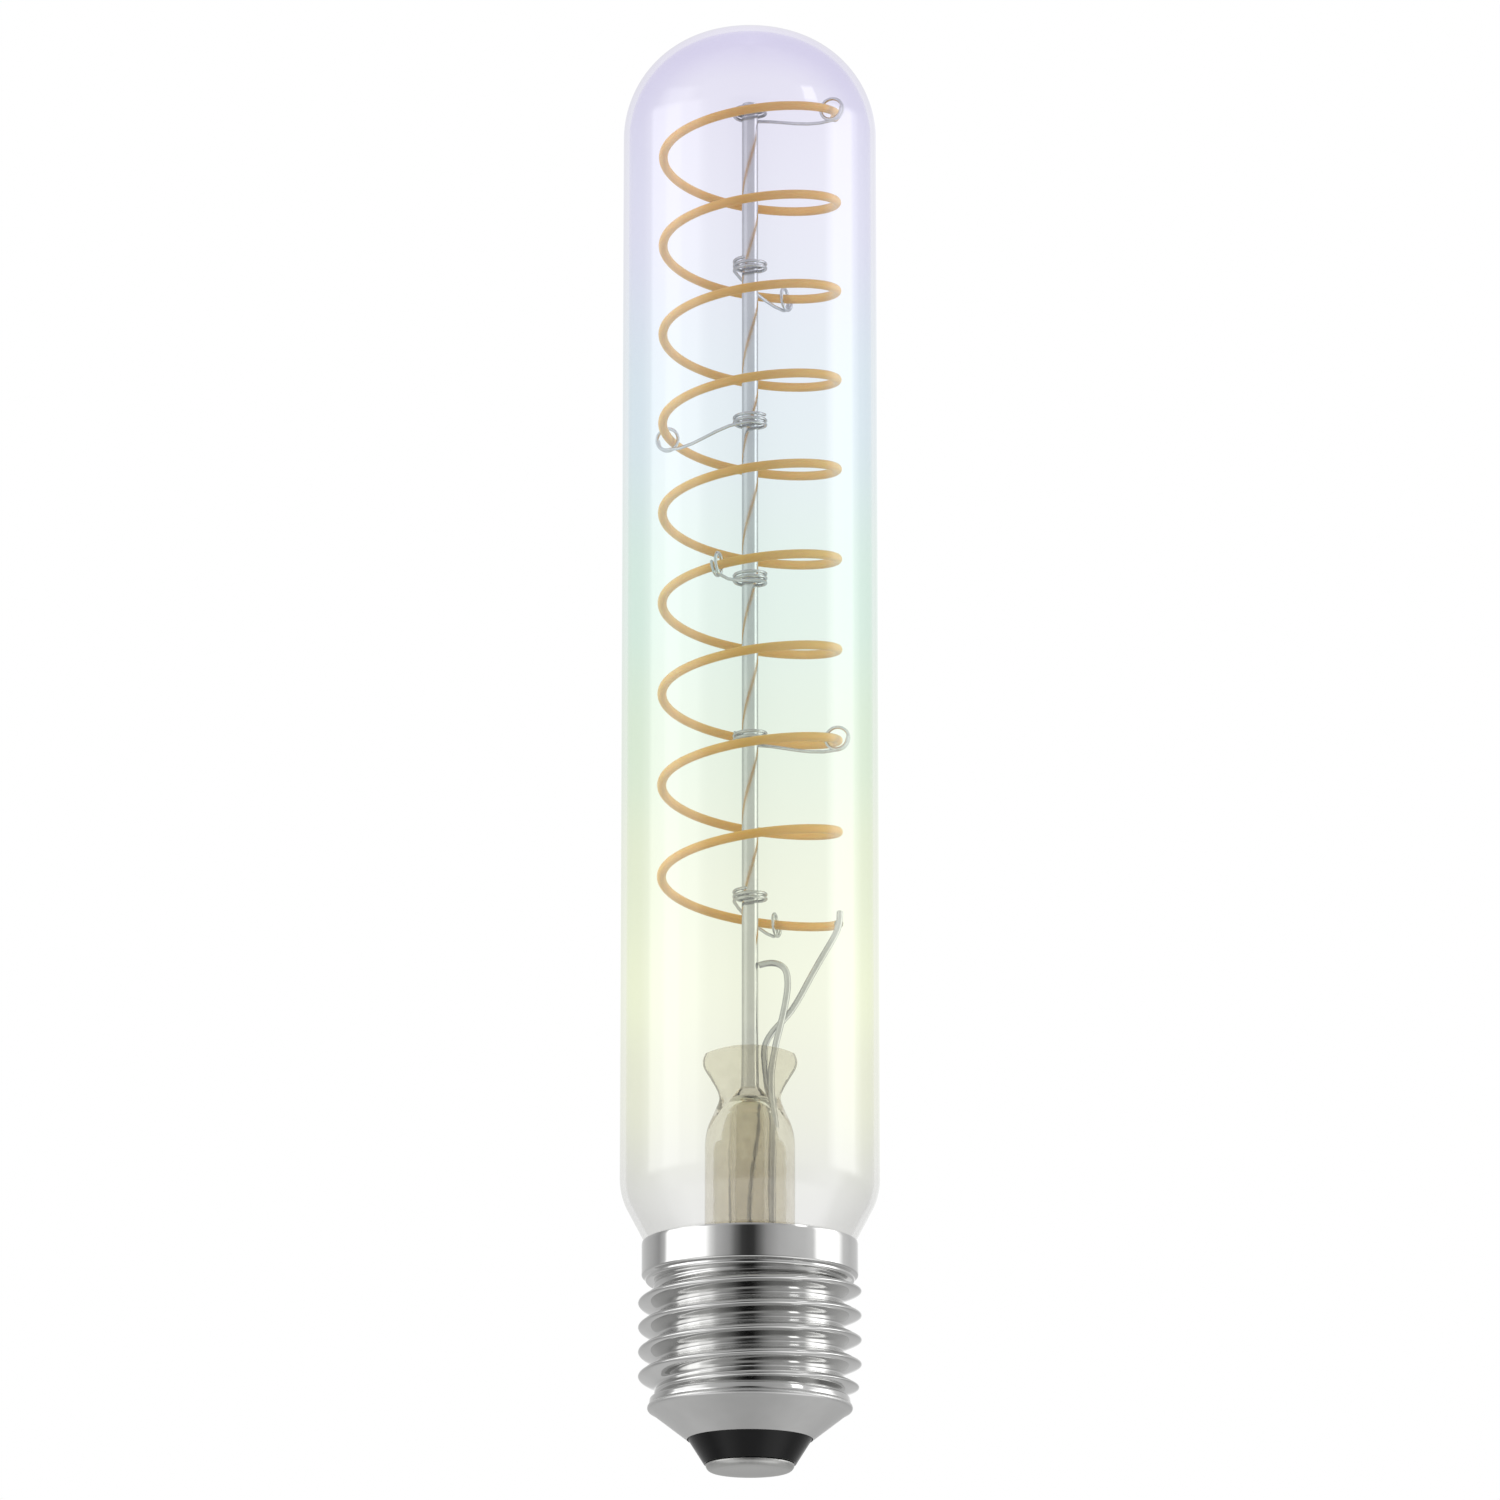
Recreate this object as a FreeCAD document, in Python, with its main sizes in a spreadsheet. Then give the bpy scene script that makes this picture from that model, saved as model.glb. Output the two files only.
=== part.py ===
import FreeCAD, Part
import Sketcher
import math
import os

# A tubular filament bulb, cap down, in millimetres. The z axis is the bulb's own axis and points to
# the dome. The origin is the middle of the centre contact's flat, where the bulb meets its holder.

doc = FreeCAD.newDocument("tubular_bulb")
X_AXIS = FreeCAD.Vector(1, 0, 0)
Z_AXIS = FreeCAD.Vector(0, 0, 1)
TURN = 2 * math.pi

# Driving dimensions: alias, value, what it is.
DIMENSIONS = (
    ("overall_length", 176.7, "flat of the centre contact to the top of the dome"),
    ("tube_radius", 15.33, "outside of the glass tube"),
    ("glass_wall", 0.7, "wall of the blown tube"),
    ("dome_shoulder_radius", 13.2, "arc between the tube and the crown"),
    ("dome_crown_radius", 19.2, "flatter arc over the top"),
    ("shoulder_radius", 8.0, "arc where the tube turns in to the cap"),
    ("shoulder_angle", 28.0, "slope of the glass below that arc, from the axis, in degrees"),
    ("neck_clearance", 0.4, "glass neck inside the opening of the cap's thread"),
    ("neck_blend_radius", 2.5, "arc between the slope and the neck"),
    ("neck_length", 9.5, "how far the glass reaches below the cap's edge"),
    ("glass_clearance", 0.12, "glass inside the collar at the cap's edge"),
    ("contact_radius", 5.2, "centre contact"),
    ("contact_flat_radius", 4.3, "flat of the centre contact"),
    ("contact_height", 0.8, "centre contact, below the insulator"),
    ("rivet_radius", 1.5, "hollow neck of the contact, through the insulator"),
    ("rivet_wall", 0.3, "its wall"),
    ("insulator_bottom_step", 0.2, "insulator wider than the contact"),
    ("insulator_top_step", 0.15, "insulator narrower than the cone's mouth"),
    ("insulator_height", 2.95, "insulator, the part in view"),
    ("insulator_floor", 2.0, "thickness of the insulator over the contact"),
    ("insulator_clearance", 0.44, "its rim, which carries the board, inside the thread"),
    ("insulator_rim_wall", 1.2, "its wall"),
    ("insulator_rim_height", 1.5, "how far the rim stands above the shell's cone"),
    ("shell_wall", 0.3, "sheet of the screw shell"),
    ("cone_mouth_radius", 7.35, "shell at the insulator"),
    ("cone_top_step", 0.25, "wide end of the cone beyond the band above it"),
    ("cone_edge_radius", 0.45, "round edge of the cone's wide end"),
    ("cone_edge_setback", 0.35, "how much that round takes off the cone"),
    ("cone_height", 3.7, "cone of the shell"),
    ("rim_step", 0.71, "band between the cone and the thread, beyond the thread's groove"),
    ("rim_height", 1.2, "that band"),
    ("thread_root_radius", 11.04, "bottom of the thread groove"),
    ("thread_depth", 2.06, "groove to crest"),
    ("thread_pitch", 2.9, "one turn of the thread"),
    ("thread_length", 13.7, "threaded part of the shell"),
    ("thread_start", 1.05, "first crest on the x axis, above the thread's lower end"),
    ("thread_foot_width", 2.6, "ridge of the thread at the groove"),
    ("thread_crest_width", 0.5, "flat of its crest"),
    ("thread_run_in", 1.6, "length over which the thread rises at its lower end"),
    ("thread_run_out", 1.1, "length over which it fades at the collar"),
    ("collar_step", 0.45, "plain collar round the glass, beyond the step under it"),
    ("collar_foot_step", 1.23, "small step under the collar, beyond the thread's groove"),
    ("collar_foot_height", 0.6, "that step"),
    ("collar_height", 4.65, "thread to the cap's edge"),
    ("lip", 0.14, "how far the collar and the cone overlap the thread's ends inwards"),
    ("stem_height", 23.5, "pinch top above the cap's edge"),
    ("stem_radius", 5.3, "outside of the flare tube"),
    ("stem_wall", 1.0, "its wall"),
    ("flare_height", 7.5, "flare at the lower end of the stem"),
    ("flare_seal", 0.9, "thickness of the flare's rim, fused to the neck"),
    ("pinch_half_width", 5.55, "widest place of the pinch"),
    ("pinch_edge_drop", 1.7, "that place below the pinch top"),
    ("pinch_edge_setback", 0.3, "how much narrower the pinch is at its top"),
    ("pinch_cover", 0.72, "pressed glass over the rod"),
    ("pinch_edge_thinning", 0.2, "how much thinner the pressed glass is at its top"),
    ("waist_half_width", 3.6, "narrowest place under the pinch"),
    ("waist_half_thickness", 2.7, "half the thickness there"),
    ("waist_drop", 6.2, "narrowest place below the pinch top"),
    ("waist_soften", 1.4, "soft end of the waist, below it"),
    ("stem_shoulder_drop", 12.1, "full tube below the pinch top"),
    ("stem_shoulder_soften", 2.4, "soft end of the full tube, above it"),
    ("pinch_crown_radius", 17.0, "arc of the pinch's top edge"),
    ("exhaust_radius", 2.5, "outside of the exhaust tube"),
    ("exhaust_wall", 0.8, "its wall"),
    ("exhaust_dome", 5.0, "height of its closed end"),
    ("exhaust_drop", 5.1, "its closed end below the pinch top"),
    ("exhaust_tip", 3.6, "melted tip at its lower end"),
    ("rod_radius", 0.98, "centre rod"),
    ("rod_above_filament", 1.4, "rod top above the filament's upper end"),
    ("filament_gap", 4.13, "middle of the strip to the inside of the glass"),
    ("filament_thickness", 1.08, "diameter of the strip"),
    ("filament_turns", 9.0, "turns between the two ends on the right"),
    ("filament_overrun", 9.0, "how far the upper end runs past the right, in degrees"),
    ("filament_top_gap", 10.5, "filament's upper end below the top of the dome"),
    ("filament_foot", 14.9, "filament's lower end above the pinch"),
    ("filament_cap_thickness", 0.25, "metal end of the strip"),
    ("hook_count", 6, "support hooks"),
    ("hook_spacing", 1.745, "filament turns from one hook to the next"),
    ("hook_first", 0.07, "first hook, in turns below the upper end"),
    ("hook_wire", 0.4, "diameter of the hook wire"),
    ("hook_coil_slack", 0.71, "coil wider than it would be on the rod"),
    ("hook_coil_turns", 2.25, "turns round the rod"),
    ("hook_coil_pitch", 0.55, "rise of one turn"),
    ("hook_ring_slack", 0.61, "ring wider than it would be on the filament"),
    ("hook_ring_turns", 1.25, "turns round the filament"),
    ("hook_ring_pitch", 0.5, "sideways step of one turn"),
    ("hook_rise", 0.9, "coil above the ring"),
    ("hook_play", 0.03, "coil beside the rod, where it touches"),
    ("lead_diameter", 0.78, "lead wires"),
    ("lead_spread", 0.45, "each lead in front of or behind the middle of the pinch"),
    ("lead_clearance", 0.5, "lead wire beside the exhaust tube"),
    ("lead_bend", 10.05, "top of the bent lead above the pinch"),
    ("weld_depth", 0.03, "how far the bent lead's end is let into the rod"),
    ("board_clearance", 0.64, "driver board inside the thread"),
    ("board_thickness", 1.0, "driver board"),
    ("capacitor_radius", 2.5, "smoothing capacitor"),
    ("capacitor_height", 5.5, "smoothing capacitor"),
    ("capacitor_edge", 0.3, "bevel of its top"),
    ("capacitor_groove", 0.2, "depth of the groove near its foot, and bevel of the foot"),
    ("capacitor_groove_height", 1.2, "middle of the groove above the foot"),
    ("capacitor_groove_width", 0.6, "the groove where it opens"),
    ("resistor_radius", 1.1, "body of the fusible resistor"),
    ("resistor_length", 3.4, "body of the fusible resistor"),
    ("resistor_edge", 0.3, "bevel of its ends"),
    ("resistor_lead_radius", 0.3, "its two leads"),
    ("resistor_stand", 1.0, "body of the resistor below the board"),
    ("chip_length", 4.8, "moulded body of the rectifier and of the driver chip"),
    ("chip_width", 3.8, "the same body"),
    ("chip_height", 1.4, "the same body"),
    ("chip_away", 4.0, "the same body to the axis"),
    ("chip_aside", 1.0, "the same body beside the line from the axis"),
    ("chip_leg_inset", 0.4, "first leg from the body's end"),
    ("chip_leg_width", 0.4, "leg"),
    ("chip_leg_reach", 1.0, "leg beside the body"),
    ("chip_leg_height", 0.3, "leg"),
    ("shell_wire_diameter", 0.6, "wire from the board to the shell"),
    ("shell_wire_inset", 1.2, "its foot from the board's edge"),
    ("shell_wire_rise", 1.5, "least height of its joint above the board"),
    ("solder_film", 0.02, "solder between that wire's end and the shell"),
)


def fill_sheet():
    """Put the driving dimensions in the sheet, one row each, with an alias and a note."""
    sheet = doc.addObject("Spreadsheet::Sheet", "dims")
    for row, (alias, value, note) in enumerate(DIMENSIONS, start=1):
        sheet.set(f"A{row}", alias)
        sheet.set(f"B{row}", str(value))
        sheet.setAlias(f"B{row}", alias)
        sheet.set(f"C{row}", note)
    doc.recompute()
    return sheet


dims = fill_sheet()

# Heights above the contact's flat, as expressions of the sheet.
Z_INSULATOR = "dims.contact_height"
Z_CONE = f"({Z_INSULATOR} + dims.insulator_height)"
Z_RIM = f"({Z_CONE} + dims.cone_height)"
Z_THREAD = f"({Z_RIM} + dims.rim_height)"
Z_COLLAR = f"({Z_THREAD} + dims.thread_length)"
Z_CAP_EDGE = f"({Z_COLLAR} + dims.collar_height)"
Z_NECK_FOOT = f"({Z_CAP_EDGE} - dims.neck_length)"
Z_PINCH = f"({Z_CAP_EDGE} + dims.stem_height)"
Z_EXHAUST = f"({Z_PINCH} - dims.exhaust_drop)"
Z_FILAMENT_FOOT = f"({Z_PINCH} + dims.filament_foot)"
Z_FILAMENT_TOP = "(dims.overall_length - dims.filament_top_gap)"
Z_BOARD = f"({Z_THREAD} + dims.insulator_rim_height)"
Z_BOARD_TOP = f"({Z_BOARD} + dims.board_thickness)"
FILAMENT_PITCH = f"(({Z_FILAMENT_TOP} - {Z_FILAMENT_FOOT}) / dims.filament_turns)"

# Radii that follow others.
ROOT_INSIDE = "(dims.thread_root_radius - dims.shell_wall)"
FLANGE = f"({ROOT_INSIDE} - dims.lip)"
RIM_RADIUS = "(dims.thread_root_radius + dims.rim_step)"
CONE_TOP_RADIUS = f"({RIM_RADIUS} + dims.cone_top_step)"
COLLAR_FOOT_RADIUS = "(dims.thread_root_radius + dims.collar_foot_step)"
COLLAR_RADIUS = f"({COLLAR_FOOT_RADIUS} + dims.collar_step)"
NECK_RADIUS = f"({FLANGE} - dims.neck_clearance)"
GLASS_AT_CAP = f"({COLLAR_RADIUS} - dims.shell_wall - dims.glass_clearance)"
INSULATOR_RIM = f"({ROOT_INSIDE} - dims.insulator_clearance)"
INSULATOR_BOTTOM = "(dims.contact_radius + dims.insulator_bottom_step)"
BOARD_RADIUS = f"({ROOT_INSIDE} - dims.board_clearance)"
FILAMENT_RADIUS = "(dims.tube_radius - dims.glass_wall - dims.filament_gap)"
PINCH_HALF_THICKNESS = "(dims.rod_radius + dims.pinch_cover)"
HOOK_COIL_RADIUS = "(dims.rod_radius + dims.hook_wire / 2 + dims.hook_coil_slack)"
HOOK_RING_RADIUS = "(dims.filament_thickness / 2 + dims.hook_wire / 2 + dims.hook_ring_slack)"


def number(expression):
    """The value of an expression of the sheet."""
    value = probe.evalExpression(expression)
    return float(getattr(value, "Value", value))


probe = doc.addObject("App::FeaturePython", "probe")


def bind(thing, **expressions):
    """Bind properties of an object to expressions, such as Radius or Placement.Base.z."""
    for name, expression in expressions.items():
        thing.setExpression(name.replace("__", "."), expression)


def new_body(label):
    body = doc.addObject("PartDesign::Body", label)
    body.Label = label
    return body


def origin_plane(body, role):
    return next(item for item in body.Origin.OriginFeatures if item.Role == role)


def new_sketch(body, name, role="XZ_Plane"):
    sketch = body.newObject("Sketcher::SketchObject", name)
    sketch.AttachmentSupport = [(origin_plane(body, role), "")]
    sketch.MapMode = "FlatFace"
    return sketch


def arc_between(start, end, radius, left):
    """The arc of the given radius from start to end, whose middle bulges to the right of the way
    when left is true, because it turns left. Returned with its two angles, counter-clockwise."""
    chord = end - start
    half = chord.Length / 2
    lift = math.sqrt(max(radius * radius - half * half, 0))
    side = FreeCAD.Vector(-chord.y, chord.x, 0).normalize()
    centre = start + chord * 0.5 + side * (lift if left else -lift)
    circle = Part.Circle(centre, Z_AXIS, radius)
    first, last = (start, end) if left else (end, start)
    return Part.ArcOfCircle(circle, circle.parameter(first), circle.parameter(last))


def draw_outline(sketch, corners):
    """A closed outline. A corner is (x, y) after a straight side, or (x, y, radius, turn) after an arc
    that turns "left" or "right". Each coordinate and radius is an expression, bound to the sketch."""
    points = [FreeCAD.Vector(number(corner[0]), number(corner[1]), 0) for corner in corners]
    ends = []
    for index, corner in enumerate(corners):
        start = points[index - 1]
        end = points[index]
        if len(corner) == 2:
            sketch.addGeometry(Part.LineSegment(start, end), False)
            ends.append((1, 2))
        else:
            left = corner[3] == "left"
            sketch.addGeometry(arc_between(start, end, number(corner[2]), left), False)
            ends.append((1, 2) if left else (2, 1))
            at = sketch.addConstraint(Sketcher.Constraint("Radius", index, number(corner[2])))
            sketch.setExpression(f"Constraints[{at}]", corner[2])
    for index, corner in enumerate(corners):
        following = (index + 1) % len(corners)
        end = ends[index][1]
        sketch.addConstraint(Sketcher.Constraint("Coincident", index, end, following, ends[following][0]))
        for kind, axis, value, expression in (("DistanceX", -2, points[index].x, corner[0]),
                                              ("DistanceY", -1, points[index].y, corner[1])):
            if expression == "0":
                sketch.addConstraint(Sketcher.Constraint("PointOnObject", index, end, axis))
            else:
                at = sketch.addConstraint(Sketcher.Constraint(kind, -1, 1, index, end, value))
                sketch.setExpression(f"Constraints[{at}]", expression)


def turned(label, corners):
    """A turned piece: the outline of one half, in radius and height, revolved round the axis."""
    body = new_body(label)
    sketch = new_sketch(body, label + "_profile")
    draw_outline(sketch, corners)
    revolution = body.newObject("PartDesign::Revolution", label + "_turned")
    revolution.Profile = sketch
    revolution.ReferenceAxis = (sketch, ["V_Axis"])
    revolution.Angle = 360
    return body


def drawn_wire(label, points, diameter, sides, corners):
    """A drawn wire: a many-sided section carried from point to point. corners is "Right corner" for
    mitred bends, or "Transformed" where the runs are nearly in line."""
    path = doc.addObject("Part::Polygon", label + "_path")
    path.Nodes = points
    section = doc.addObject("Part::RegularPolygon", label + "_section")
    section.Polygon = sides
    bind(section, Circumradius=f"{diameter} / 2")
    section.Placement = FreeCAD.Placement(points[0], FreeCAD.Rotation(Z_AXIS, points[1] - points[0]))
    wire = doc.addObject("Part::Sweep", label)
    wire.Sections = [section]
    wire.Spine = (path, [])
    wire.Solid = True
    wire.Transition = corners
    wire.Label = label
    return wire


def smooth_run(points, runs):
    """Points at even steps along the smooth curve through the given ones."""
    curve = Part.BSplineCurve()
    curve.interpolate([FreeCAD.Vector(*point) for point in points])
    return curve.discretize(Number=runs + 1)


def cut_away(label, base, tools):
    """The base piece with room for the pieces that lie in it."""
    rest = base
    for index, tool in enumerate(tools, start=1):
        cut = doc.addObject("Part::Cut", f"{label}_cut_{index}")
        cut.Base = rest
        cut.Tool = tool
        rest = cut
    rest.Label = label
    return rest


# The glass envelope: crown arc, shoulder arc, straight wall, shoulder over the cap, neck inside it.

def dome_line(inset):
    """Where the crown arc meets the shoulder arc and where the shoulder meets the wall, each moved
    inwards by the inset. Returns the expressions of crown top, meeting point and wall top."""
    offset = "(dims.tube_radius - dims.dome_shoulder_radius)"
    reach = "(dims.dome_crown_radius - dims.dome_shoulder_radius)"
    fall = f"sqrt({reach} * {reach} - {offset} * {offset})"
    centre = "(dims.overall_length - dims.dome_crown_radius)"
    crown = f"(dims.dome_crown_radius - {inset})"
    top = f"(dims.overall_length - {inset})"
    meet = (f"{crown} * {offset} / {reach}", f"{centre} + {crown} * {fall} / {reach}")
    wall = (f"dims.tube_radius - {inset}", f"{centre} + {fall}")
    return crown, top, meet, wall


def neck_blend():
    """The arc that leads from the neck to the slope over it: radius at its top, top and foot."""
    angle = "dims.shoulder_angle"
    radius = f"({NECK_RADIUS} + dims.neck_blend_radius * (1 - cos({angle})))"
    top = f"({Z_CAP_EDGE} - ({GLASS_AT_CAP} - {radius}) / tan({angle}))"
    return radius, top, f"({top} - dims.neck_blend_radius * sin({angle}))"


def glass_envelope():
    angle = "dims.shoulder_angle"
    drop = f"dims.shoulder_radius * (1 - cos({angle}))"
    slope_start_radius = f"(dims.tube_radius - {drop})"
    slope_start = f"({Z_CAP_EDGE} + ({slope_start_radius} - {GLASS_AT_CAP}) / tan({angle}))"
    wall_foot = f"({slope_start} + dims.shoulder_radius * sin({angle}))"
    blend_radius, blend_top, blend_foot = neck_blend()
    wall = "dims.glass_wall"
    across = f"{wall} * cos({angle})"
    along = f"{wall} * sin({angle})"
    crown, top, meet, side = dome_line("0")
    inner_crown, inner_top, inner_meet, inner_side = dome_line(wall)
    return turned("glass_envelope", (
        ("0", inner_top),
        (*inner_meet, inner_crown, "right"),
        (*inner_side, f"dims.dome_shoulder_radius - {wall}", "right"),
        (f"dims.tube_radius - {wall}", wall_foot),
        (f"{slope_start_radius} - {across}", f"{slope_start} + {along}",
         f"dims.shoulder_radius - {wall}", "right"),
        (f"{blend_radius} - {across}", f"{blend_top} + {along}"),
        (f"{NECK_RADIUS} - {wall}", blend_foot, f"dims.neck_blend_radius + {wall}", "left"),
        (f"{NECK_RADIUS} - {wall}", f"{Z_NECK_FOOT} + dims.flare_seal"),
        (NECK_RADIUS, f"{Z_NECK_FOOT} + dims.flare_seal"),
        (NECK_RADIUS, blend_foot),
        (blend_radius, blend_top, "dims.neck_blend_radius", "right"),
        (slope_start_radius, slope_start),
        ("dims.tube_radius", wall_foot, "dims.shoulder_radius", "left"),
        side,
        (*meet, "dims.dome_shoulder_radius", "left"),
        ("0", top, crown, "left"),
    ))


# The stem: a flare tube, pressed flat at its upper end round the rod and the leads.

def flare_tube():
    """The straight tube with its flare, whose rim is fused to the foot of the neck."""
    inner = "(dims.stem_radius - dims.stem_wall)"
    flare_top = f"({Z_NECK_FOOT} + dims.flare_height)"
    tube_top = f"({Z_PINCH} - dims.stem_shoulder_drop)"
    rim = NECK_RADIUS
    sweep = "dims.flare_height * 1.15"
    return turned("stem_tube", (
        (inner, tube_top),
        (inner, flare_top),
        (f"{rim} - dims.flare_seal", Z_NECK_FOOT, sweep, "left"),
        (rim, Z_NECK_FOOT),
        (rim, f"{Z_NECK_FOOT} + dims.flare_seal"),
        (f"{rim} - dims.glass_wall", f"{Z_NECK_FOOT} + dims.flare_seal"),
        ("dims.stem_radius", f"{flare_top} + dims.flare_seal * 0.4", sweep, "right"),
        ("dims.stem_radius", tube_top),
    ))


def oval(name, height, half_width, half_thickness):
    """One level of the pinch, an ellipse that lies flat."""
    ring = doc.addObject("Part::Ellipse", name)
    bind(ring, MajorRadius=half_width, MinorRadius=half_thickness, Placement__Base__z=height)
    return ring


def stem_pinch():
    """The glass from the round tube up: it draws in to a waist and fans out flat. The levels are
    given by their depth below the pinch top, half width and half thickness."""
    width = "dims.pinch_half_width"
    waist = "dims.waist_half_width"
    deep_waist = "dims.waist_half_thickness"
    thick = PINCH_HALF_THICKNESS
    tube = "dims.stem_radius"
    levels = (
        ("dims.stem_shoulder_drop", tube, tube),
        ("(dims.stem_shoulder_drop - dims.stem_shoulder_soften)", f"({waist} * 0.2 + {tube} * 0.8)",
         f"({deep_waist} * 0.2 + {tube} * 0.8)"),
        ("(dims.waist_drop + dims.waist_soften)", f"({waist} * 0.72 + {tube} * 0.28)",
         f"({deep_waist} * 0.72 + {tube} * 0.28)"),
        ("dims.waist_drop", waist, deep_waist),
        ("(dims.waist_drop * 0.62)", f"({waist} * 0.48 + {width} * 0.52)",
         f"({thick} * 0.7 + {deep_waist} * 0.3)"),
        ("dims.pinch_edge_drop", width, thick),
        ("0", f"{width} - dims.pinch_edge_setback", f"{thick} - dims.pinch_edge_thinning"),
    )
    pinch = doc.addObject("Part::Loft", "stem_pinch_fan")
    pinch.Sections = [oval(f"pinch_level_{index}", f"{Z_PINCH} - {depth}", across, deep)
                      for index, (depth, across, deep) in enumerate(levels)]
    pinch.Solid = True
    return pinch


def pinch_crown():
    """What is left under the arched top edge of the pinch: a wide cylinder across the pinch."""
    crown = doc.addObject("Part::Cylinder", "pinch_crown")
    crown.Placement = FreeCAD.Placement(FreeCAD.Vector(0, 0, 0), FreeCAD.Rotation(X_AXIS, 90))
    bind(crown, Radius="dims.pinch_crown_radius", Height="dims.stem_radius * 4",
         Placement__Base__z=f"{Z_PINCH} - dims.pinch_crown_radius",
         Placement__Base__y="dims.stem_radius * 2")
    return crown


def stem_hollow():
    """The space inside the stem that narrows under the pinch, round the end of the exhaust tube."""
    inner = "(dims.stem_radius - dims.stem_wall)"
    tube_top = f"({Z_PINCH} - dims.stem_shoulder_drop)"
    hollow_top = f"({Z_PINCH} - dims.waist_drop)"
    return turned("stem_hollow", (
        ("0", f"{tube_top} - dims.stem_wall"),
        (inner, f"{tube_top} - dims.stem_wall"),
        (inner, tube_top),
        ("dims.exhaust_radius - 0.5", hollow_top, "dims.stem_radius * 2", "left"),
        ("0", hollow_top),
    ))


def stem(tools):
    """The stem as one piece of glass: tube and pinch joined, hollowed, with its wires sealed in."""
    crowned = doc.addObject("Part::Common", "stem_pinch_crowned")
    crowned.Base = stem_pinch()
    crowned.Tool = pinch_crown()
    hollowed = doc.addObject("Part::Cut", "stem_pinch_hollowed")
    hollowed.Base = crowned
    hollowed.Tool = stem_hollow()
    joined = doc.addObject("Part::Fuse", "stem_joined")
    joined.Base = flare_tube()
    joined.Tool = hollowed
    return cut_away("stem", joined, tools)


def exhaust_tube():
    """The tube the bulb was emptied through: domed end under the pinch, melted tip in the cap."""
    radius = "dims.exhaust_radius"
    wall = "dims.exhaust_wall"
    dome_foot = f"({Z_EXHAUST} - dims.exhaust_dome)"
    flat = "dims.rod_radius"
    tip_top = f"({Z_NECK_FOOT} + dims.flare_seal)"
    tip = f"({tip_top} - dims.exhaust_tip)"
    dome_inside = f"({Z_EXHAUST} - {wall} * 1.5)"
    return turned("exhaust_tube", (
        ("0", Z_EXHAUST),
        ("0", dome_inside),
        (f"{wall} * 0.5", dome_inside),
        (f"{radius} - {wall}", dome_foot, "dims.exhaust_dome * 1.3", "right"),
        (f"{radius} - {wall}", tip_top),
        ("0", f"{tip} + {wall}"),
        ("0", tip),
        (f"{wall} * 0.6", tip),
        (radius, tip_top, "dims.exhaust_tip * 1.4", "left"),
        (radius, dome_foot),
        (flat, Z_EXHAUST, "dims.exhaust_dome * 1.8", "left"),
    ))


# The mount inside the glass: rod, filament with its metal ends, hooks and leads.

def centre_rod():
    rod = doc.addObject("Part::Cylinder", "centre_rod")
    rod.Label = "centre_rod"
    bind(rod, Radius="dims.rod_radius", Placement__Base__z=Z_EXHAUST,
         Height=f"{Z_FILAMENT_TOP} + dims.rod_above_filament - {Z_EXHAUST}")
    return rod


def led_filament():
    """The strip: a six-sided section carried along a right-handed helix from the lower end up."""
    body = new_body("led_filament")
    sketch = new_sketch(body, "filament_section")
    corner = "dims.filament_thickness / 2"
    angles = [60 * side for side in range(6)]
    draw_outline(sketch, [(f"{FILAMENT_RADIUS} + {corner} * cos({angle})",
                           f"{Z_FILAMENT_FOOT} + {corner} * sin({angle})") for angle in angles])
    helix = body.newObject("PartDesign::AdditiveHelix", "filament_helix")
    helix.Profile = sketch
    helix.ReferenceAxis = (sketch, ["V_Axis"])
    helix.Mode = "pitch-turns-angle"
    bind(helix, Pitch=FILAMENT_PITCH, Turns="dims.filament_turns + dims.filament_overrun / 360")
    return body


def filament_point(turns_down):
    """A point of the filament's middle line, so many turns below its upper right end."""
    angle = -TURN * turns_down
    radius = number(FILAMENT_RADIUS)
    height = number(Z_FILAMENT_TOP) - number(FILAMENT_PITCH) * turns_down
    return FreeCAD.Vector(radius * math.cos(angle), radius * math.sin(angle), height)


def filament_cap(label, turns_down, outwards):
    """A metal disc on one end of the strip. outwards is 1 at the upper end and -1 at the lower."""
    cap = doc.addObject("Part::Cylinder", label)
    cap.Label = label
    bind(cap, Radius="dims.filament_thickness / 2", Height="dims.filament_cap_thickness")
    angle = -TURN * turns_down
    along = FreeCAD.Vector(-math.sin(angle), math.cos(angle), 0)
    cap.Placement = FreeCAD.Placement(filament_point(turns_down), FreeCAD.Rotation(Z_AXIS, along * outwards))
    return cap


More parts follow.
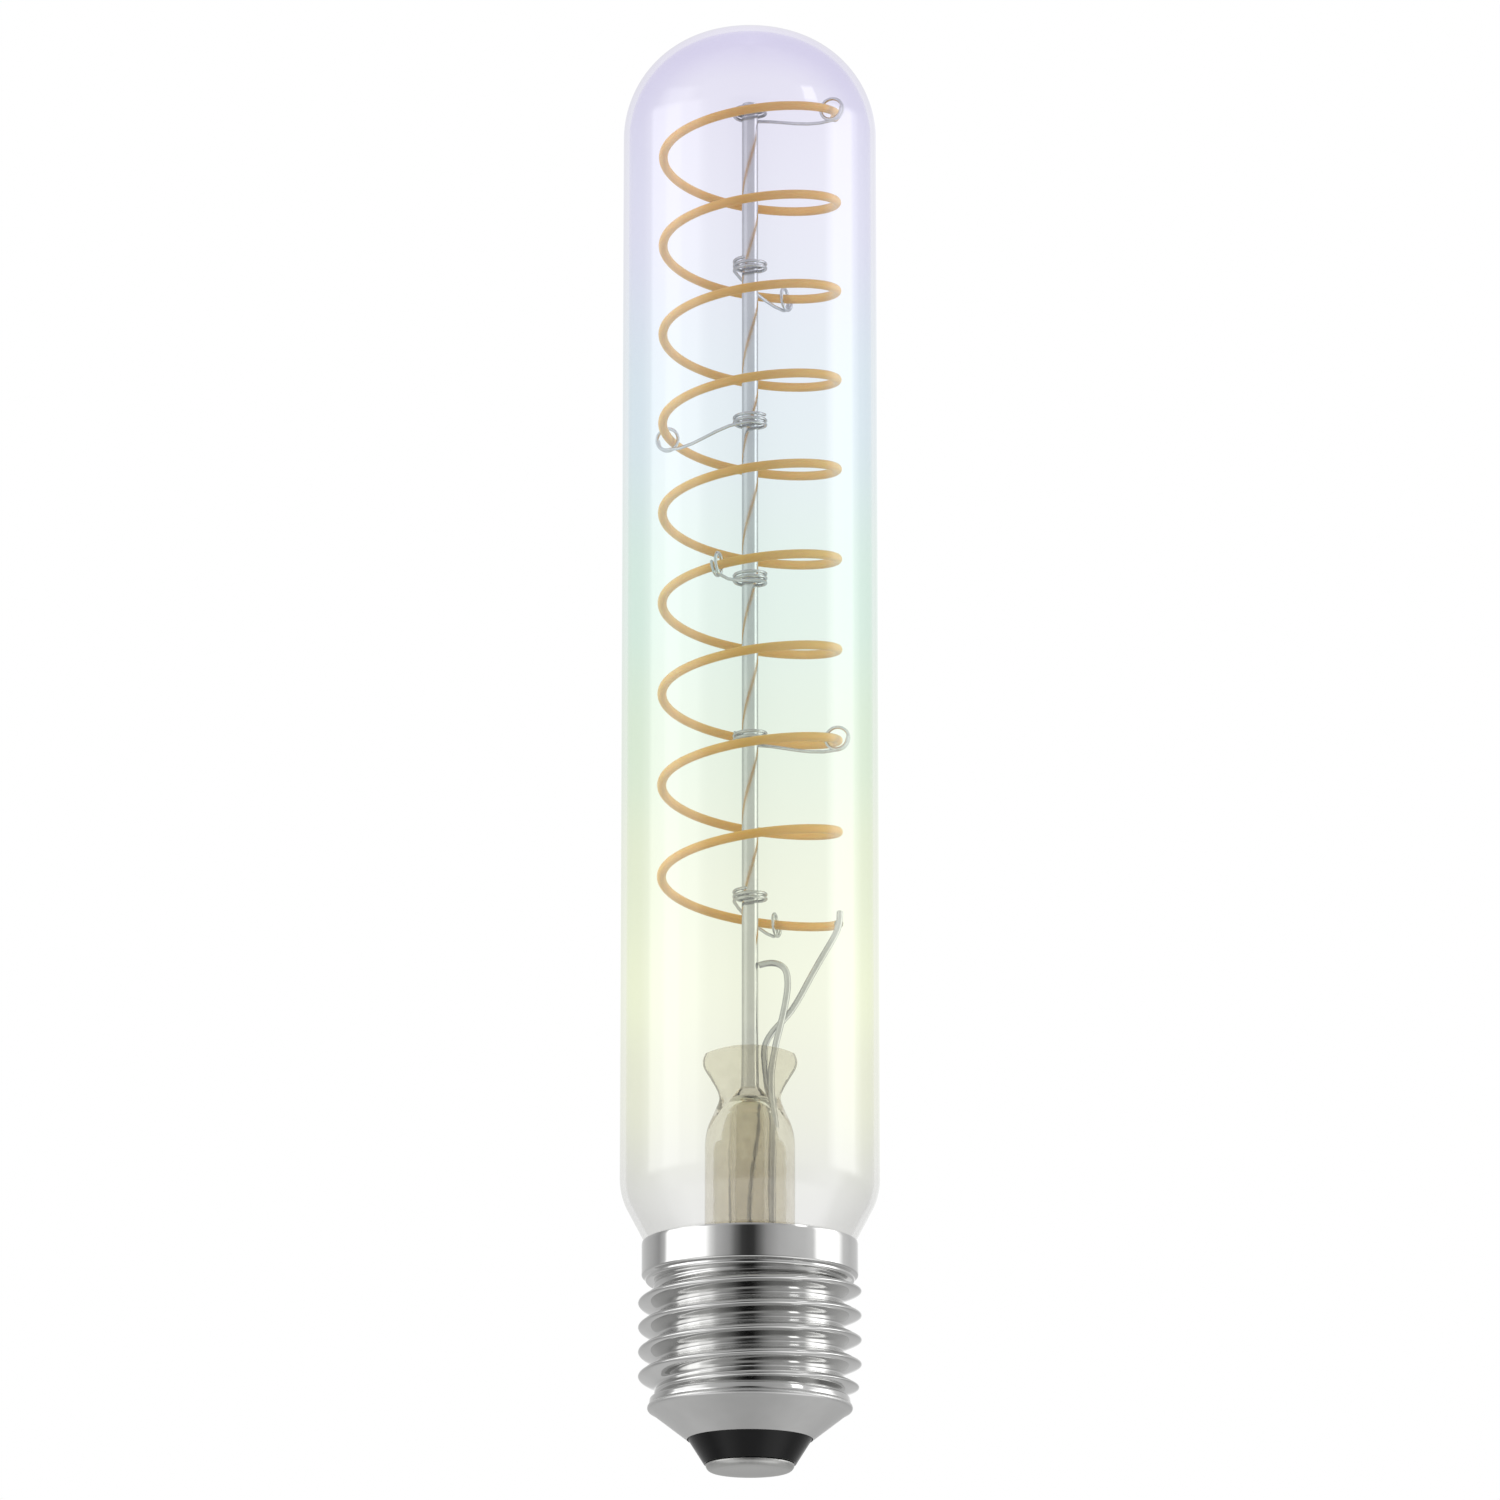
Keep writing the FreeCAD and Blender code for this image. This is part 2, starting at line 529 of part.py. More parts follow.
def support_hook(index):
    """A hook: a loose coil round the rod, touching it at the back, a straight arm that leaves the
    coil on a tangent, and a ring round the filament that starts at its lowest point."""
    wire = number("dims.hook_wire")
    coil_radius = number(HOOK_COIL_RADIUS)
    ring_radius = number(HOOK_RING_RADIUS)
    turns_down = number("dims.hook_first") + index * number("dims.hook_spacing")
    held = filament_point(turns_down)
    direction = math.atan2(held.y, held.x)
    outward = FreeCAD.Vector(math.cos(direction), math.sin(direction), 0)
    sideways = FreeCAD.Vector(-math.sin(direction), math.cos(direction), 0)
    steps = 10
    seat = number("dims.rod_radius") + wire / 2 + number("dims.hook_play")
    lean = coil_radius * math.cos(math.pi / steps) - seat
    coil_centre = FreeCAD.Vector(0, -lean, held.z + number("dims.hook_rise"))
    coil_turns = number("dims.hook_coil_turns")
    coil_pitch = number("dims.hook_coil_pitch")
    play = ring_radius - (number("dims.filament_thickness") + wire) / 2
    ring_centre = held + outward * (play / 2)
    points = []
    coil_steps = round(coil_turns * steps)
    for step in range(coil_steps + 1):
        back = (coil_steps - step) / steps
        angle = direction + math.pi / 2 + TURN * back
        rise = coil_pitch * (back - coil_turns / 2)
        points.append(coil_centre + FreeCAD.Vector(coil_radius * math.cos(angle),
                                                   coil_radius * math.sin(angle), rise))
    ring_steps = round(number("dims.hook_ring_turns") * steps)
    for step in range(ring_steps + 1):
        angle = -math.pi / 2 + TURN * step / steps
        shift = number("dims.hook_ring_pitch") * (step / steps - 0.5)
        points.append(ring_centre + outward * (ring_radius * math.cos(angle))
                      + Z_AXIS * (ring_radius * math.sin(angle)) - sideways * shift)
    return drawn_wire(f"support_hook_{index + 1}", points, "dims.hook_wire", 5, "Right corner")


def lead_levels():
    """Heights and places that both leads share: below the pinch they pass beside the exhaust tube."""
    pinch = number(Z_PINCH)
    beside = number("dims.exhaust_radius") + number("dims.lead_diameter") / 2 + number("dims.lead_clearance")
    return pinch, pinch - number("dims.waist_drop"), beside, number(Z_BOARD_TOP)


def lead_wire_rod():
    """The lead that rises in front of the middle, bends over and is welded to the rod's side."""
    pinch, waist, beside, foot = lead_levels()
    front = -number("dims.lead_spread")
    low_x = 0.74 * beside
    low_y = -math.sqrt(beside ** 2 - low_x ** 2)
    bend = pinch + number("dims.lead_bend")
    rod_side = number("dims.rod_radius - dims.weld_depth")
    points = (
        (low_x, low_y, foot),
        (low_x, low_y, foot + 8),
        (low_x, low_y, waist - 16),
        (low_x, low_y, waist - 9),
        (0.752 * beside, -0.531 * beside, waist - 3.6),
        (2.28, front, waist + 0.4),
        (3.02, front, pinch + 0.1),
        (3.75, front, bend - 6.85),
        (4.33, front, bend - 3.85),
        (4.42, front, bend - 1.85),
        (3.98, front, bend - 0.55),
        (2.75, front, bend),
        (rod_side, front, bend - 0.25),
    )
    path = smooth_run(points, 24)
    return drawn_wire("lead_wire_rod_blank", path, "dims.lead_diameter", 6, "Transformed")


def lead_wire_filament():
    """The lead that rises behind the other one and is welded to the filament's lower end."""
    pinch, waist, beside, foot = lead_levels()
    behind = number("dims.lead_spread")
    end = filament_point(number("dims.filament_turns"))
    rise = end.z - pinch
    weld = -(number("dims.lead_diameter") / 2 + number("dims.filament_cap_thickness"))
    points = (
        (0.0, beside, foot),
        (0.0, beside, foot + 8),
        (0.0, beside, waist - 16),
        (0.25, beside, waist - 9),
        (0.383 * beside, 0.855 * beside, waist - 3.6),
        (0.516 * beside, 0.472 * beside, waist + 0.1),
        (1.70, behind, pinch - 2.4),
        (1.73, behind, pinch + 0.1),
        (2.65, behind, pinch + 0.128 * rise),
        (0.412 * end.x, behind, pinch + 0.255 * rise),
        (0.659 * end.x, 0.1, pinch + 0.537 * rise),
        (0.884 * end.x, -0.35, pinch + 0.812 * rise),
        (end.x, weld, end.z - 0.2),
        (end.x + 0.12, weld, end.z + 1.3),
    )
    path = smooth_run(points, 24)
    return drawn_wire("lead_wire_filament", path, "dims.lead_diameter", 6, "Transformed")


# The cap: one rolled sheet with collar, thread and cone, on a black insulator.

def shell_collar():
    """The sheet round the glass, with a small step under it and a flange to the thread's end."""
    wall = "dims.shell_wall"
    step = f"({Z_COLLAR} + dims.collar_foot_height)"
    return turned("shell_collar", (
        (f"{COLLAR_RADIUS} - {wall}", Z_CAP_EDGE),
        (f"{COLLAR_RADIUS} - {wall}", f"{step} + {wall}"),
        (f"{COLLAR_FOOT_RADIUS} - {wall}", f"{step} + {wall}"),
        (f"{COLLAR_FOOT_RADIUS} - {wall}", f"{Z_COLLAR} + {wall}"),
        (FLANGE, f"{Z_COLLAR} + {wall}"),
        (FLANGE, Z_COLLAR),
        (f"{COLLAR_FOOT_RADIUS} - {wall}", Z_COLLAR),
        (COLLAR_FOOT_RADIUS, f"{Z_COLLAR} + {wall}", wall, "left"),
        (COLLAR_FOOT_RADIUS, step),
        (f"{COLLAR_RADIUS} - {wall}", step),
        (COLLAR_RADIUS, f"{step} + {wall}", wall, "left"),
        (COLLAR_RADIUS, Z_CAP_EDGE),
    ))


def shell_cone():
    """The sheet under the thread: a flange, a short band, a round edge and the cone."""
    wall = "dims.shell_wall"
    setback = "dims.cone_edge_setback"
    edge = "dims.cone_edge_radius"
    return turned("shell_cone", (
        (FLANGE, Z_THREAD),
        (FLANGE, f"{Z_THREAD} - {wall}"),
        (f"{RIM_RADIUS} - {wall} * 1.4", f"{Z_THREAD} - {wall}"),
        (f"{CONE_TOP_RADIUS} - {wall} * 1.4", f"{Z_RIM} + {wall} * 0.2"),
        ("dims.cone_mouth_radius", f"{Z_CONE} + {wall} * 1.2"),
        ("dims.cone_mouth_radius", Z_CONE),
        (f"{CONE_TOP_RADIUS} - {setback}", f"{Z_RIM} - {setback}"),
        (CONE_TOP_RADIUS, f"{Z_RIM} + {edge} - {setback}", edge, "left"),
        (RIM_RADIUS, f"{Z_THREAD} - {wall}"),
        (f"{RIM_RADIUS} - {wall}", Z_THREAD, wall, "left"),
    ))


def threaded_core(name, root, crest, foot_width, crest_width):
    """A round core with the thread's ridge wound round it, longer than the thread at both ends."""
    spare = "(dims.thread_pitch * 1.5)"
    low = f"({Z_THREAD} - {spare})"
    high = f"({Z_COLLAR} + {spare})"
    body = turned(name, (("0", low), (root, low), (root, high), ("0", high)))
    first = f"({Z_THREAD} + dims.thread_start - dims.thread_pitch)"
    bury = "dims.shell_wall / 3"
    ridge = new_sketch(body, name + "_ridge")
    draw_outline(ridge, (
        (f"{root} - {bury}", f"{first} - {foot_width} / 2"),
        (root, f"{first} - {foot_width} / 2"),
        (crest, f"{first} - {crest_width} / 2"),
        (crest, f"{first} + {crest_width} / 2"),
        (root, f"{first} + {foot_width} / 2"),
        (f"{root} - {bury}", f"{first} + {foot_width} / 2"),
    ))
    helix = body.newObject("PartDesign::AdditiveHelix", name + "_helix")
    helix.Profile = ridge
    helix.ReferenceAxis = (ridge, ["V_Axis"])
    helix.Mode = "pitch-height-angle"
    bind(helix, Pitch="dims.thread_pitch", Height="dims.thread_length + dims.thread_pitch")
    return body


def thread_limit(name, root, crest):
    """What bounds the thread: it runs in at the lower end and fades out at the collar."""
    half_sheet = "dims.shell_wall / 2"
    above = "dims.shell_wall / 15"
    return turned(name, (
        ("0", f"{Z_THREAD} - {half_sheet}"),
        (f"{root} + {above}", f"{Z_THREAD} - {half_sheet}"),
        (f"{root} + {above}", Z_THREAD),
        (f"{crest} + {above}", f"{Z_THREAD} + dims.thread_run_in"),
        (f"{crest} + {above}", f"{Z_COLLAR} - dims.thread_run_out"),
        (f"{root} + {above}", Z_COLLAR),
        (f"{root} + {above}", f"{Z_COLLAR} + {half_sheet}"),
        ("0", f"{Z_COLLAR} + {half_sheet}"),
    ))


def thread_band():
    """The threaded sheet: the outer core less the inner one. The inner ridge is narrower, so that
    the flanks keep their thickness."""
    wall = "dims.shell_wall"
    root = "dims.thread_root_radius"
    crest = f"({root} + dims.thread_depth)"
    sides = []
    for name, inset in (("thread_outside", "0"), ("thread_inside", wall)):
        side = doc.addObject("Part::Common", name)
        side.Base = threaded_core(name + "_core", f"({root} - {inset})", f"({crest} - {inset})",
                                  f"(dims.thread_foot_width - {inset})",
                                  f"(dims.thread_crest_width - {inset})")
        side.Tool = thread_limit(name + "_limit", f"({root} - {inset})", f"({crest} - {inset})")
        sides.append(side)
    band = doc.addObject("Part::Cut", "thread_band")
    band.Base, band.Tool = sides
    return band


def screw_shell():
    shell = doc.addObject("Part::MultiFuse", "screw_shell")
    shell.Shapes = [shell_collar(), thread_band(), shell_cone()]
    shell.Label = "screw_shell"
    return shell


def basing_cement():
    """The ring of cement between the glass and the collar. Its inner side follows the glass."""
    wall = "dims.shell_wall"
    step = f"({Z_COLLAR} + dims.collar_foot_height + {wall})"
    blend_radius, blend_top, blend_foot = neck_blend()
    foot = f"min({Z_COLLAR}; {blend_foot}) - {wall}"
    top = f"({Z_CAP_EDGE} - {wall})"
    return turned("basing_cement", (
        (f"{GLASS_AT_CAP} - {wall} * tan(dims.shoulder_angle)", top),
        (blend_radius, blend_top),
        (NECK_RADIUS, blend_foot, "dims.neck_blend_radius", "left"),
        (NECK_RADIUS, foot),
        (FLANGE, foot),
        (FLANGE, f"{Z_COLLAR} + {wall}"),
        (f"{COLLAR_FOOT_RADIUS} - {wall}", f"{Z_COLLAR} + {wall}"),
        (f"{COLLAR_FOOT_RADIUS} - {wall}", step),
        (f"{COLLAR_RADIUS} - {wall}", step),
        (f"{COLLAR_RADIUS} - {wall}", top),
    ))


def insulator():
    """The black ring: it fills the cone from inside, and its rim carries the board."""
    wall = "dims.shell_wall"
    hole = "dims.rivet_radius"
    floor = f"({Z_INSULATOR} + dims.insulator_floor)"
    seat_radius = f"({CONE_TOP_RADIUS} - {wall} * 1.4)"
    inside = f"({INSULATOR_RIM} - dims.insulator_rim_wall)"
    return turned("insulator", (
        (hole, Z_INSULATOR),
        (INSULATOR_BOTTOM, Z_INSULATOR),
        ("dims.cone_mouth_radius - dims.insulator_top_step", Z_CONE),
        ("dims.cone_mouth_radius", Z_CONE),
        ("dims.cone_mouth_radius", f"{Z_CONE} + {wall} * 1.2"),
        (seat_radius, f"{Z_RIM} + {wall} * 0.2"),
        (INSULATOR_RIM, f"{Z_RIM} + {wall} * 0.6"),
        (INSULATOR_RIM, Z_BOARD),
        (inside, Z_BOARD),
        (inside, f"{Z_RIM} - {wall}"),
        (INSULATOR_BOTTOM, floor),
        (hole, floor),
    ))


def centre_contact():
    """The disc with a rounded edge and a hollow neck that is pressed through the insulator."""
    round_off = "(dims.contact_radius - dims.contact_flat_radius)"
    neck_top = f"({Z_INSULATOR} + dims.insulator_floor + dims.rivet_wall)"
    inside = "(dims.rivet_radius - dims.rivet_wall)"
    return turned("centre_contact", (
        ("0", "0"),
        ("dims.contact_flat_radius", "0"),
        ("dims.contact_radius", Z_INSULATOR, round_off, "left"),
        ("dims.rivet_radius", Z_INSULATOR),
        ("dims.rivet_radius", f"{Z_INSULATOR} + dims.insulator_floor"),
        ("dims.rivet_radius + dims.rivet_wall * 2", f"{Z_INSULATOR} + dims.insulator_floor"),
        ("dims.rivet_radius + dims.rivet_wall * 2", neck_top),
        (inside, neck_top),
        (inside, Z_INSULATOR),
        ("0", Z_INSULATOR),
    ))


# The supply in the cap.

def driver_board():
    board = doc.addObject("Part::Cylinder", "driver_board")
    board.Label = "driver_board"
    bind(board, Radius=BOARD_RADIUS, Height="dims.board_thickness", Placement__Base__z=Z_BOARD)
    return board


def smoothing_capacitor():
    """A can with the rolled groove near its foot, standing on the board."""
    radius = "dims.capacitor_radius"
    edge = "dims.capacitor_edge"
    groove = "dims.capacitor_groove"
    groove_height = f"{Z_BOARD_TOP} + dims.capacitor_groove_height"
    top = f"{Z_BOARD_TOP} + dims.capacitor_height"
    body = turned("smoothing_capacitor", (
        ("0", Z_BOARD_TOP),
        (f"{radius} - {groove}", Z_BOARD_TOP),
        (radius, f"{Z_BOARD_TOP} + {groove}"),
        (radius, f"{groove_height} - dims.capacitor_groove_width / 2"),
        (f"{radius} - {groove}", groove_height),
        (radius, f"{groove_height} + dims.capacitor_groove_width / 2"),
        (radius, f"{top} - {edge}"),
        (f"{radius} - {edge}", top),
        ("0", top),
    ))
    bind(body, Placement__Base__x="-(dims.exhaust_radius + dims.capacitor_radius + dims.lead_clearance)")
    return body


def fusible_resistor():
    """A round body with a lead at each end, upright between the contact's neck and the board."""
    lead = "dims.resistor_lead_radius"
    radius = "dims.resistor_radius"
    edge = "dims.resistor_edge"
    high = f"({Z_BOARD} - dims.resistor_stand)"
    low = f"({high} - dims.resistor_length)"
    return turned("fusible_resistor", (
        ("0", Z_INSULATOR),
        (lead, Z_INSULATOR),
        (lead, low),
        (f"{radius} - {edge}", low),
        (radius, f"{low} + {edge}"),
        (radius, f"{high} - {edge}"),
        (f"{radius} - {edge}", high),
        (lead, high),
        (lead, Z_BOARD),
        ("0", Z_BOARD),
    ))


def rectangle(sketch, left, right, bottom, top):
    draw_outline(sketch, ((left, bottom), (right, bottom), (right, top), (left, top)))


def chip(label, legs, turned_by):
    """A moulded package with a row of legs on each long side, standing on the board. legs is the
    number in a row and turned_by its place round the axis."""
    body = new_body(label)
    package = new_sketch(body, label + "_package", "XY_Plane")
    away = "dims.chip_away"
    aside = "dims.chip_aside"
    rectangle(package, away, f"{away} + dims.chip_length", aside, f"{aside} + dims.chip_width")
    block = body.newObject("PartDesign::Pad", label + "_block")
    block.Profile = package
    bind(block, Length="dims.chip_height")
    foot = new_sketch(body, label + "_leg", "XY_Plane")
    inset = "dims.chip_leg_inset"
    rectangle(foot, f"{away} + {inset}", f"{away} + {inset} + dims.chip_leg_width",
              f"{aside} - dims.chip_leg_reach", f"{aside} + dims.chip_width + dims.chip_leg_reach")
    leg = body.newObject("PartDesign::Pad", label + "_first_leg")
    leg.Profile = foot
    bind(leg, Length="dims.chip_leg_height")
    doc.recompute()
    row = body.newObject("PartDesign::LinearPattern", label + "_row")
    row.Originals = [leg]
    row.Direction = (foot, ["H_Axis"])
    row.Occurrences = legs
    bind(row, Length=f"dims.chip_length - 2 * {inset} - dims.chip_leg_width")
    body.Tip = row
    body.Placement = FreeCAD.Placement(FreeCAD.Vector(0, 0, 0), FreeCAD.Rotation(Z_AXIS, turned_by))
    bind(body, Placement__Base__z=Z_BOARD_TOP)
    return body


def shell_wire():
    """The wire from the board's edge, up and over to the inside of the thread, where it is soldered
    at a groove of the shell."""
    board = number(Z_BOARD_TOP)
    pitch = number("dims.thread_pitch")
    groove = number(f"{Z_THREAD} + dims.thread_start + dims.thread_pitch")
    while groove < board + number("dims.shell_wire_rise"):
        groove += pitch
    reach = number(f"{ROOT_INSIDE} - dims.solder_film")
    foot = number(f"{BOARD_RADIUS} - dims.shell_wire_inset")
    bend = (reach - foot) / 3
    points = [
        FreeCAD.Vector(-foot, 0, board),
        FreeCAD.Vector(-foot, 0, board + bend),
        FreeCAD.Vector(-foot - bend * 0.4, 0, groove - bend * 0.6),
        FreeCAD.Vector(-foot - bend, 0, groove),
        FreeCAD.Vector(-reach, 0, groove),
    ]
    return drawn_wire("shell_wire", points, "dims.shell_wire_diameter", 6, "Right corner")


def build():
    """Every piece of the bulb, in the order that it goes together."""
    rod = centre_rod()
    blank = lead_wire_rod()
    lead_rod = cut_away("lead_wire_rod", blank, [rod])
    lead_filament = lead_wire_filament()
    exhaust = exhaust_tube()
    pieces = [glass_envelope(), stem([exhaust, rod, blank, lead_filament]), exhaust, rod, led_filament()]
    pieces.append(filament_cap("filament_cap_top", -number("dims.filament_overrun") / 360, 1))
    pieces.append(filament_cap("filament_cap_bottom", number("dims.filament_turns"), -1))
    pieces += [support_hook(index) for index in range(round(number("dims.hook_count")))]
    pieces += [lead_rod, lead_filament, screw_shell(), basing_cement(), insulator(), centre_contact()]
    pieces += [driver_board(), smoothing_capacitor(), fusible_resistor()]
    pieces.append(chip("bridge_rectifier", 2, 35))
    pieces.append(chip("driver_chip", 4, -80))
    pieces.append(shell_wire())
    doc.recompute()
    return pieces


def check(pieces):
    """Stop if any object failed, or if a piece is not one valid solid."""
    for item in doc.Objects:
        if "Invalid" in item.State or "Error" in item.State:
            raise RuntimeError(f"{item.Name} failed: {item.State}")
    for piece in pieces:
        shape = piece.Shape
        if shape.isNull() or not shape.isValid() or len(shape.Solids) != 1:
            raise RuntimeError(f"{piece.Label}: not one valid solid")


def write(pieces):
    os.makedirs("parts", exist_ok=True)
    for piece in pieces:
        piece.Shape.exportStep(f"parts/{piece.Label}.step")
        box = piece.Shape.BoundBox
        print(f"{piece.Label}: {piece.Shape.Volume:.2f} mm3, z {box.ZMin:.2f} to {box.ZMax:.2f}")


all_pieces = build()
check(all_pieces)
write(all_pieces)
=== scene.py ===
import math

import bpy
import numpy as np
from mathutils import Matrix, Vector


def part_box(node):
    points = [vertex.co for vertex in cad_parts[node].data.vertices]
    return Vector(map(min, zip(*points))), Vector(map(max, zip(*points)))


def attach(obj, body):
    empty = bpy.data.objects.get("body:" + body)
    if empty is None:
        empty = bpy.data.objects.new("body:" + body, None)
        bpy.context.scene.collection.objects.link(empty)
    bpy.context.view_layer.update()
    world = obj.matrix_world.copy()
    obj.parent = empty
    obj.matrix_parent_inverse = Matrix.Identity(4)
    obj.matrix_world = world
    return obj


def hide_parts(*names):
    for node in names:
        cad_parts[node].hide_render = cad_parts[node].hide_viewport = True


# A tubular filament bulb, cap down. Shapes are worked out in millimetres, z up along the bulb's own
# axis from the flat of its centre contact, and become metres when they are put into a mesh.

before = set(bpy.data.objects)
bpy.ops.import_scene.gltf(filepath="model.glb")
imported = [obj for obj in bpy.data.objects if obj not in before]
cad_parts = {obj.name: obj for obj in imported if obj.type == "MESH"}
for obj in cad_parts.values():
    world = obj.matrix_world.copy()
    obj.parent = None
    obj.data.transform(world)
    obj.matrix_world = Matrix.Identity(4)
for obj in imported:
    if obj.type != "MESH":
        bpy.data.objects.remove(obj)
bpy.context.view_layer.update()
MM = 0.001
TURN = 2 * math.pi

# Heights, from the CAD model.
Z_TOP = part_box("glass_envelope")[1].z / MM
Z_CAP_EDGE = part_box("screw_shell")[1].z / MM
Z_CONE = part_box("screw_shell")[0].z / MM
Z_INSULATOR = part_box("insulator")[0].z / MM
Z_ROD_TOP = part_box("centre_rod")[1].z / MM
Z_ROD_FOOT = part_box("centre_rod")[0].z / MM
Z_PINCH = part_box("stem")[1].z / MM
Z_RIM = Z_CONE + 3.7
Z_THREAD = Z_RIM + 1.2
Z_COLLAR = Z_THREAD + 13.7
Z_NECK_FOOT = Z_CAP_EDGE - 9.5
Z_NECK_SEAL = Z_NECK_FOOT + 0.9
Z_FILAMENT_FOOT = Z_PINCH + 14.9
Z_FILAMENT_TOP = Z_TOP - 10.5

# Glass tube.
TUBE_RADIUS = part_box("glass_envelope")[1].x / MM
GLASS_WALL = 0.7
DOME_SHOULDER = 13.2
DOME_CROWN = 19.2
SHOULDER_RADIUS = 8.0
SHOULDER_ANGLE = math.radians(28)
GLASS_AT_CAP = 12.3
NECK_RADIUS = 10.2
NECK_BLEND = 2.5

# Stem: a tube with a flare at its foot, a waist, and a top pressed flat.
STEM_RADIUS = 5.3
STEM_BORE = 4.3
FLARE_RADIUS = 8.625
Z_FLARE = Z_NECK_FOOT + 7.5
Z_STEM_TUBE = Z_PINCH - 12.1
WAIST_DEPTH = 6.2
Z_WAIST = Z_PINCH - WAIST_DEPTH
PINCH_ARCH = 17
PINCH_CROWN = 0.12
# Depth under the top edge, half width and half thickness, from the tube up.
STEM_LEVELS = np.array([
    (16.6, 5.3, 5.3), (12.1, 5.3, 5.3), (9.7, 4.96, 4.78), (7.6, 4.08, 3.43), (6.2, 3.62, 2.7),
    (5.0, 3.98, 2.3), (3.84, 4.61, 2.0), (1.7, 5.55, 1.7), (0.6, 5.5, 1.62), (0, 5.3, 1.45),
])

# Exhaust tube.
EXHAUST_RADIUS = 2.5
EXHAUST_BORE = 1.7
EXHAUST_DOME = 9.0
EXHAUST_TIP = 3.6

# Filament, rod, hooks and leads.
FILAMENT_RADIUS = 10.5
FILAMENT_THICKNESS = 1.08
FILAMENT_TURNS = 9
FILAMENT_OVERRUN = 9 / 360
ROD_RADIUS = 0.98
ROD_EDGE = 0.2
HOOK_COUNT = 6
HOOK_FIRST = 0.07
HOOK_SPACING = 1.745
HOOK_WIRE = 0.4
HOOK_COIL = 1.89
HOOK_COIL_TURNS = 2.25
HOOK_COIL_PITCH = 0.55
HOOK_RING = 1.35
HOOK_RING_TURNS = 1.25
HOOK_RING_PITCH = 0.5
HOOK_RISE = 0.9
HOOK_PLAY = 0.03
LEAD_DIAMETER = 0.78
LEAD_SPREAD = 0.45
LEAD_OFF_AXIS = 3.39
Z_BOARD_TOP = 11.2
Z_LEAD_STRAIGHT = Z_BOARD_TOP + 8

# Screw shell.
SHELL_WALL = 0.3
THREAD_ROOT = 11.04
THREAD_DEPTH = 2.06
THREAD_PITCH = 2.9
THREAD_START = 1.05
THREAD_RUN_IN = 1.6
THREAD_RUN_OUT = 1.1
COLLAR_RADIUS = 12.72
COLLAR_FOOT_RADIUS = 12.27
COLLAR_FOOT_HEIGHT = 0.6
COLLAR_LIP = 0.06
RIM_RADIUS = 11.75
CONE_TOP = 12.0
CONE_EDGE = 0.42
CONE_MOUTH = 7.35
CONE_SHEET = 0.36

# Insulator and centre contact.
INSULATOR_FOOT = 5.4
INSULATOR_FLOOR = 2.0
INSULATOR_RIM = 10.3
INSULATOR_RIM_BORE = 9.1
INSULATOR_SHOULDER = 11.56
Z_INSULATOR_RIM = Z_THREAD + 1.5
CONTACT_RADIUS = 5.2
CONTACT_EDGE = 0.8
CONTACT_BORE_FLOOR = 0.9
CONTACT_NECK = 1.5
CONTACT_NECK_BORE = 1.2
CONTACT_FLANGE = 2.1


# Shapes.

def put_in_mesh(name, points, quads, poles=()):
    """A mesh object from millimetre points, quads and fans of triangles. Edges over 40 degrees
    stay sharp."""
    mesh = bpy.data.meshes.new(name)
    faces = quads.tolist() + [face for pole in poles for face in pole.tolist()]
    mesh.from_pydata((points * MM).tolist(), [], faces)
    mesh.polygons.foreach_set("use_smooth", np.ones(len(mesh.polygons), bool))
    mesh.set_sharp_from_angle(angle=math.radians(40))
    piece = bpy.data.objects.new(name, mesh)
    bpy.context.scene.collection.objects.link(piece)
    return piece


def grid_quads(stations, around, closed=False):
    """The quads of a grid of stations x around points. Each ring closes on itself, and with closed
    the last ring joins the first."""
    rows = np.arange(stations if closed else stations - 1)[:, None]
    columns = np.arange(around)[None, :]
    following = (rows + 1) % stations
    beside = (columns + 1) % around
    corners = (rows * around + columns, rows * around + beside,
               following * around + beside, following * around + columns)
    return np.stack(np.broadcast_arrays(*corners), axis=-1).reshape(-1, 4)


def fan(pole, first, around, outwards):
    """Triangles from a pole to the ring that starts at the point first."""
    columns = np.arange(around)
    beside = (columns + 1) % around
    rim = (first + columns, first + beside) if outwards else (first + beside, first + columns)
    return np.stack([np.full(around, pole), *rim], axis=-1)


def rings_to_piece(name, rings, start=None, end=None, closed=False):
    """A piece from rings of points (stations x around x 3), closed by a pole at either end. Seen
    from the end, each ring runs so that the faces point outwards."""
    stations, around, _ = rings.shape
    points = rings.reshape(-1, 3)
    quads = grid_quads(stations, around, closed)
    fans = []
    for pole, first, outwards in ((start, 0, False), (end, (stations - 1) * around, True)):
        if pole is not None:
            fans.append(fan(len(points), first, around, outwards))
            points = np.vstack([points, pole])
    return put_in_mesh(name, points, quads, fans)


def round_the_axis(radius, height, around):
    """Rings of points at even angles: the radius times each angle's cosine and sine, and the height.
    Radius and height are columns, one row a ring, or have a value for each point."""
    angles = np.arange(around) * TURN / around
    return np.stack([radius * np.cos(angles), radius * np.sin(angles), height + 0 * angles], axis=-1)


def arc(centre, radius, first, last, steps):
    """Points of a circle arc in (radius, height), between two angles in degrees."""
    angles = np.radians(np.linspace(first, last, steps))
    return np.stack([centre[0] + radius * np.cos(angles), centre[1] + radius * np.sin(angles)], axis=1)


def line(start, end, steps):
    """Points from start up to, but not including, end."""
    share = np.arange(steps)[:, None] / steps
    return np.array(start) * (1 - share) + np.array(end) * share


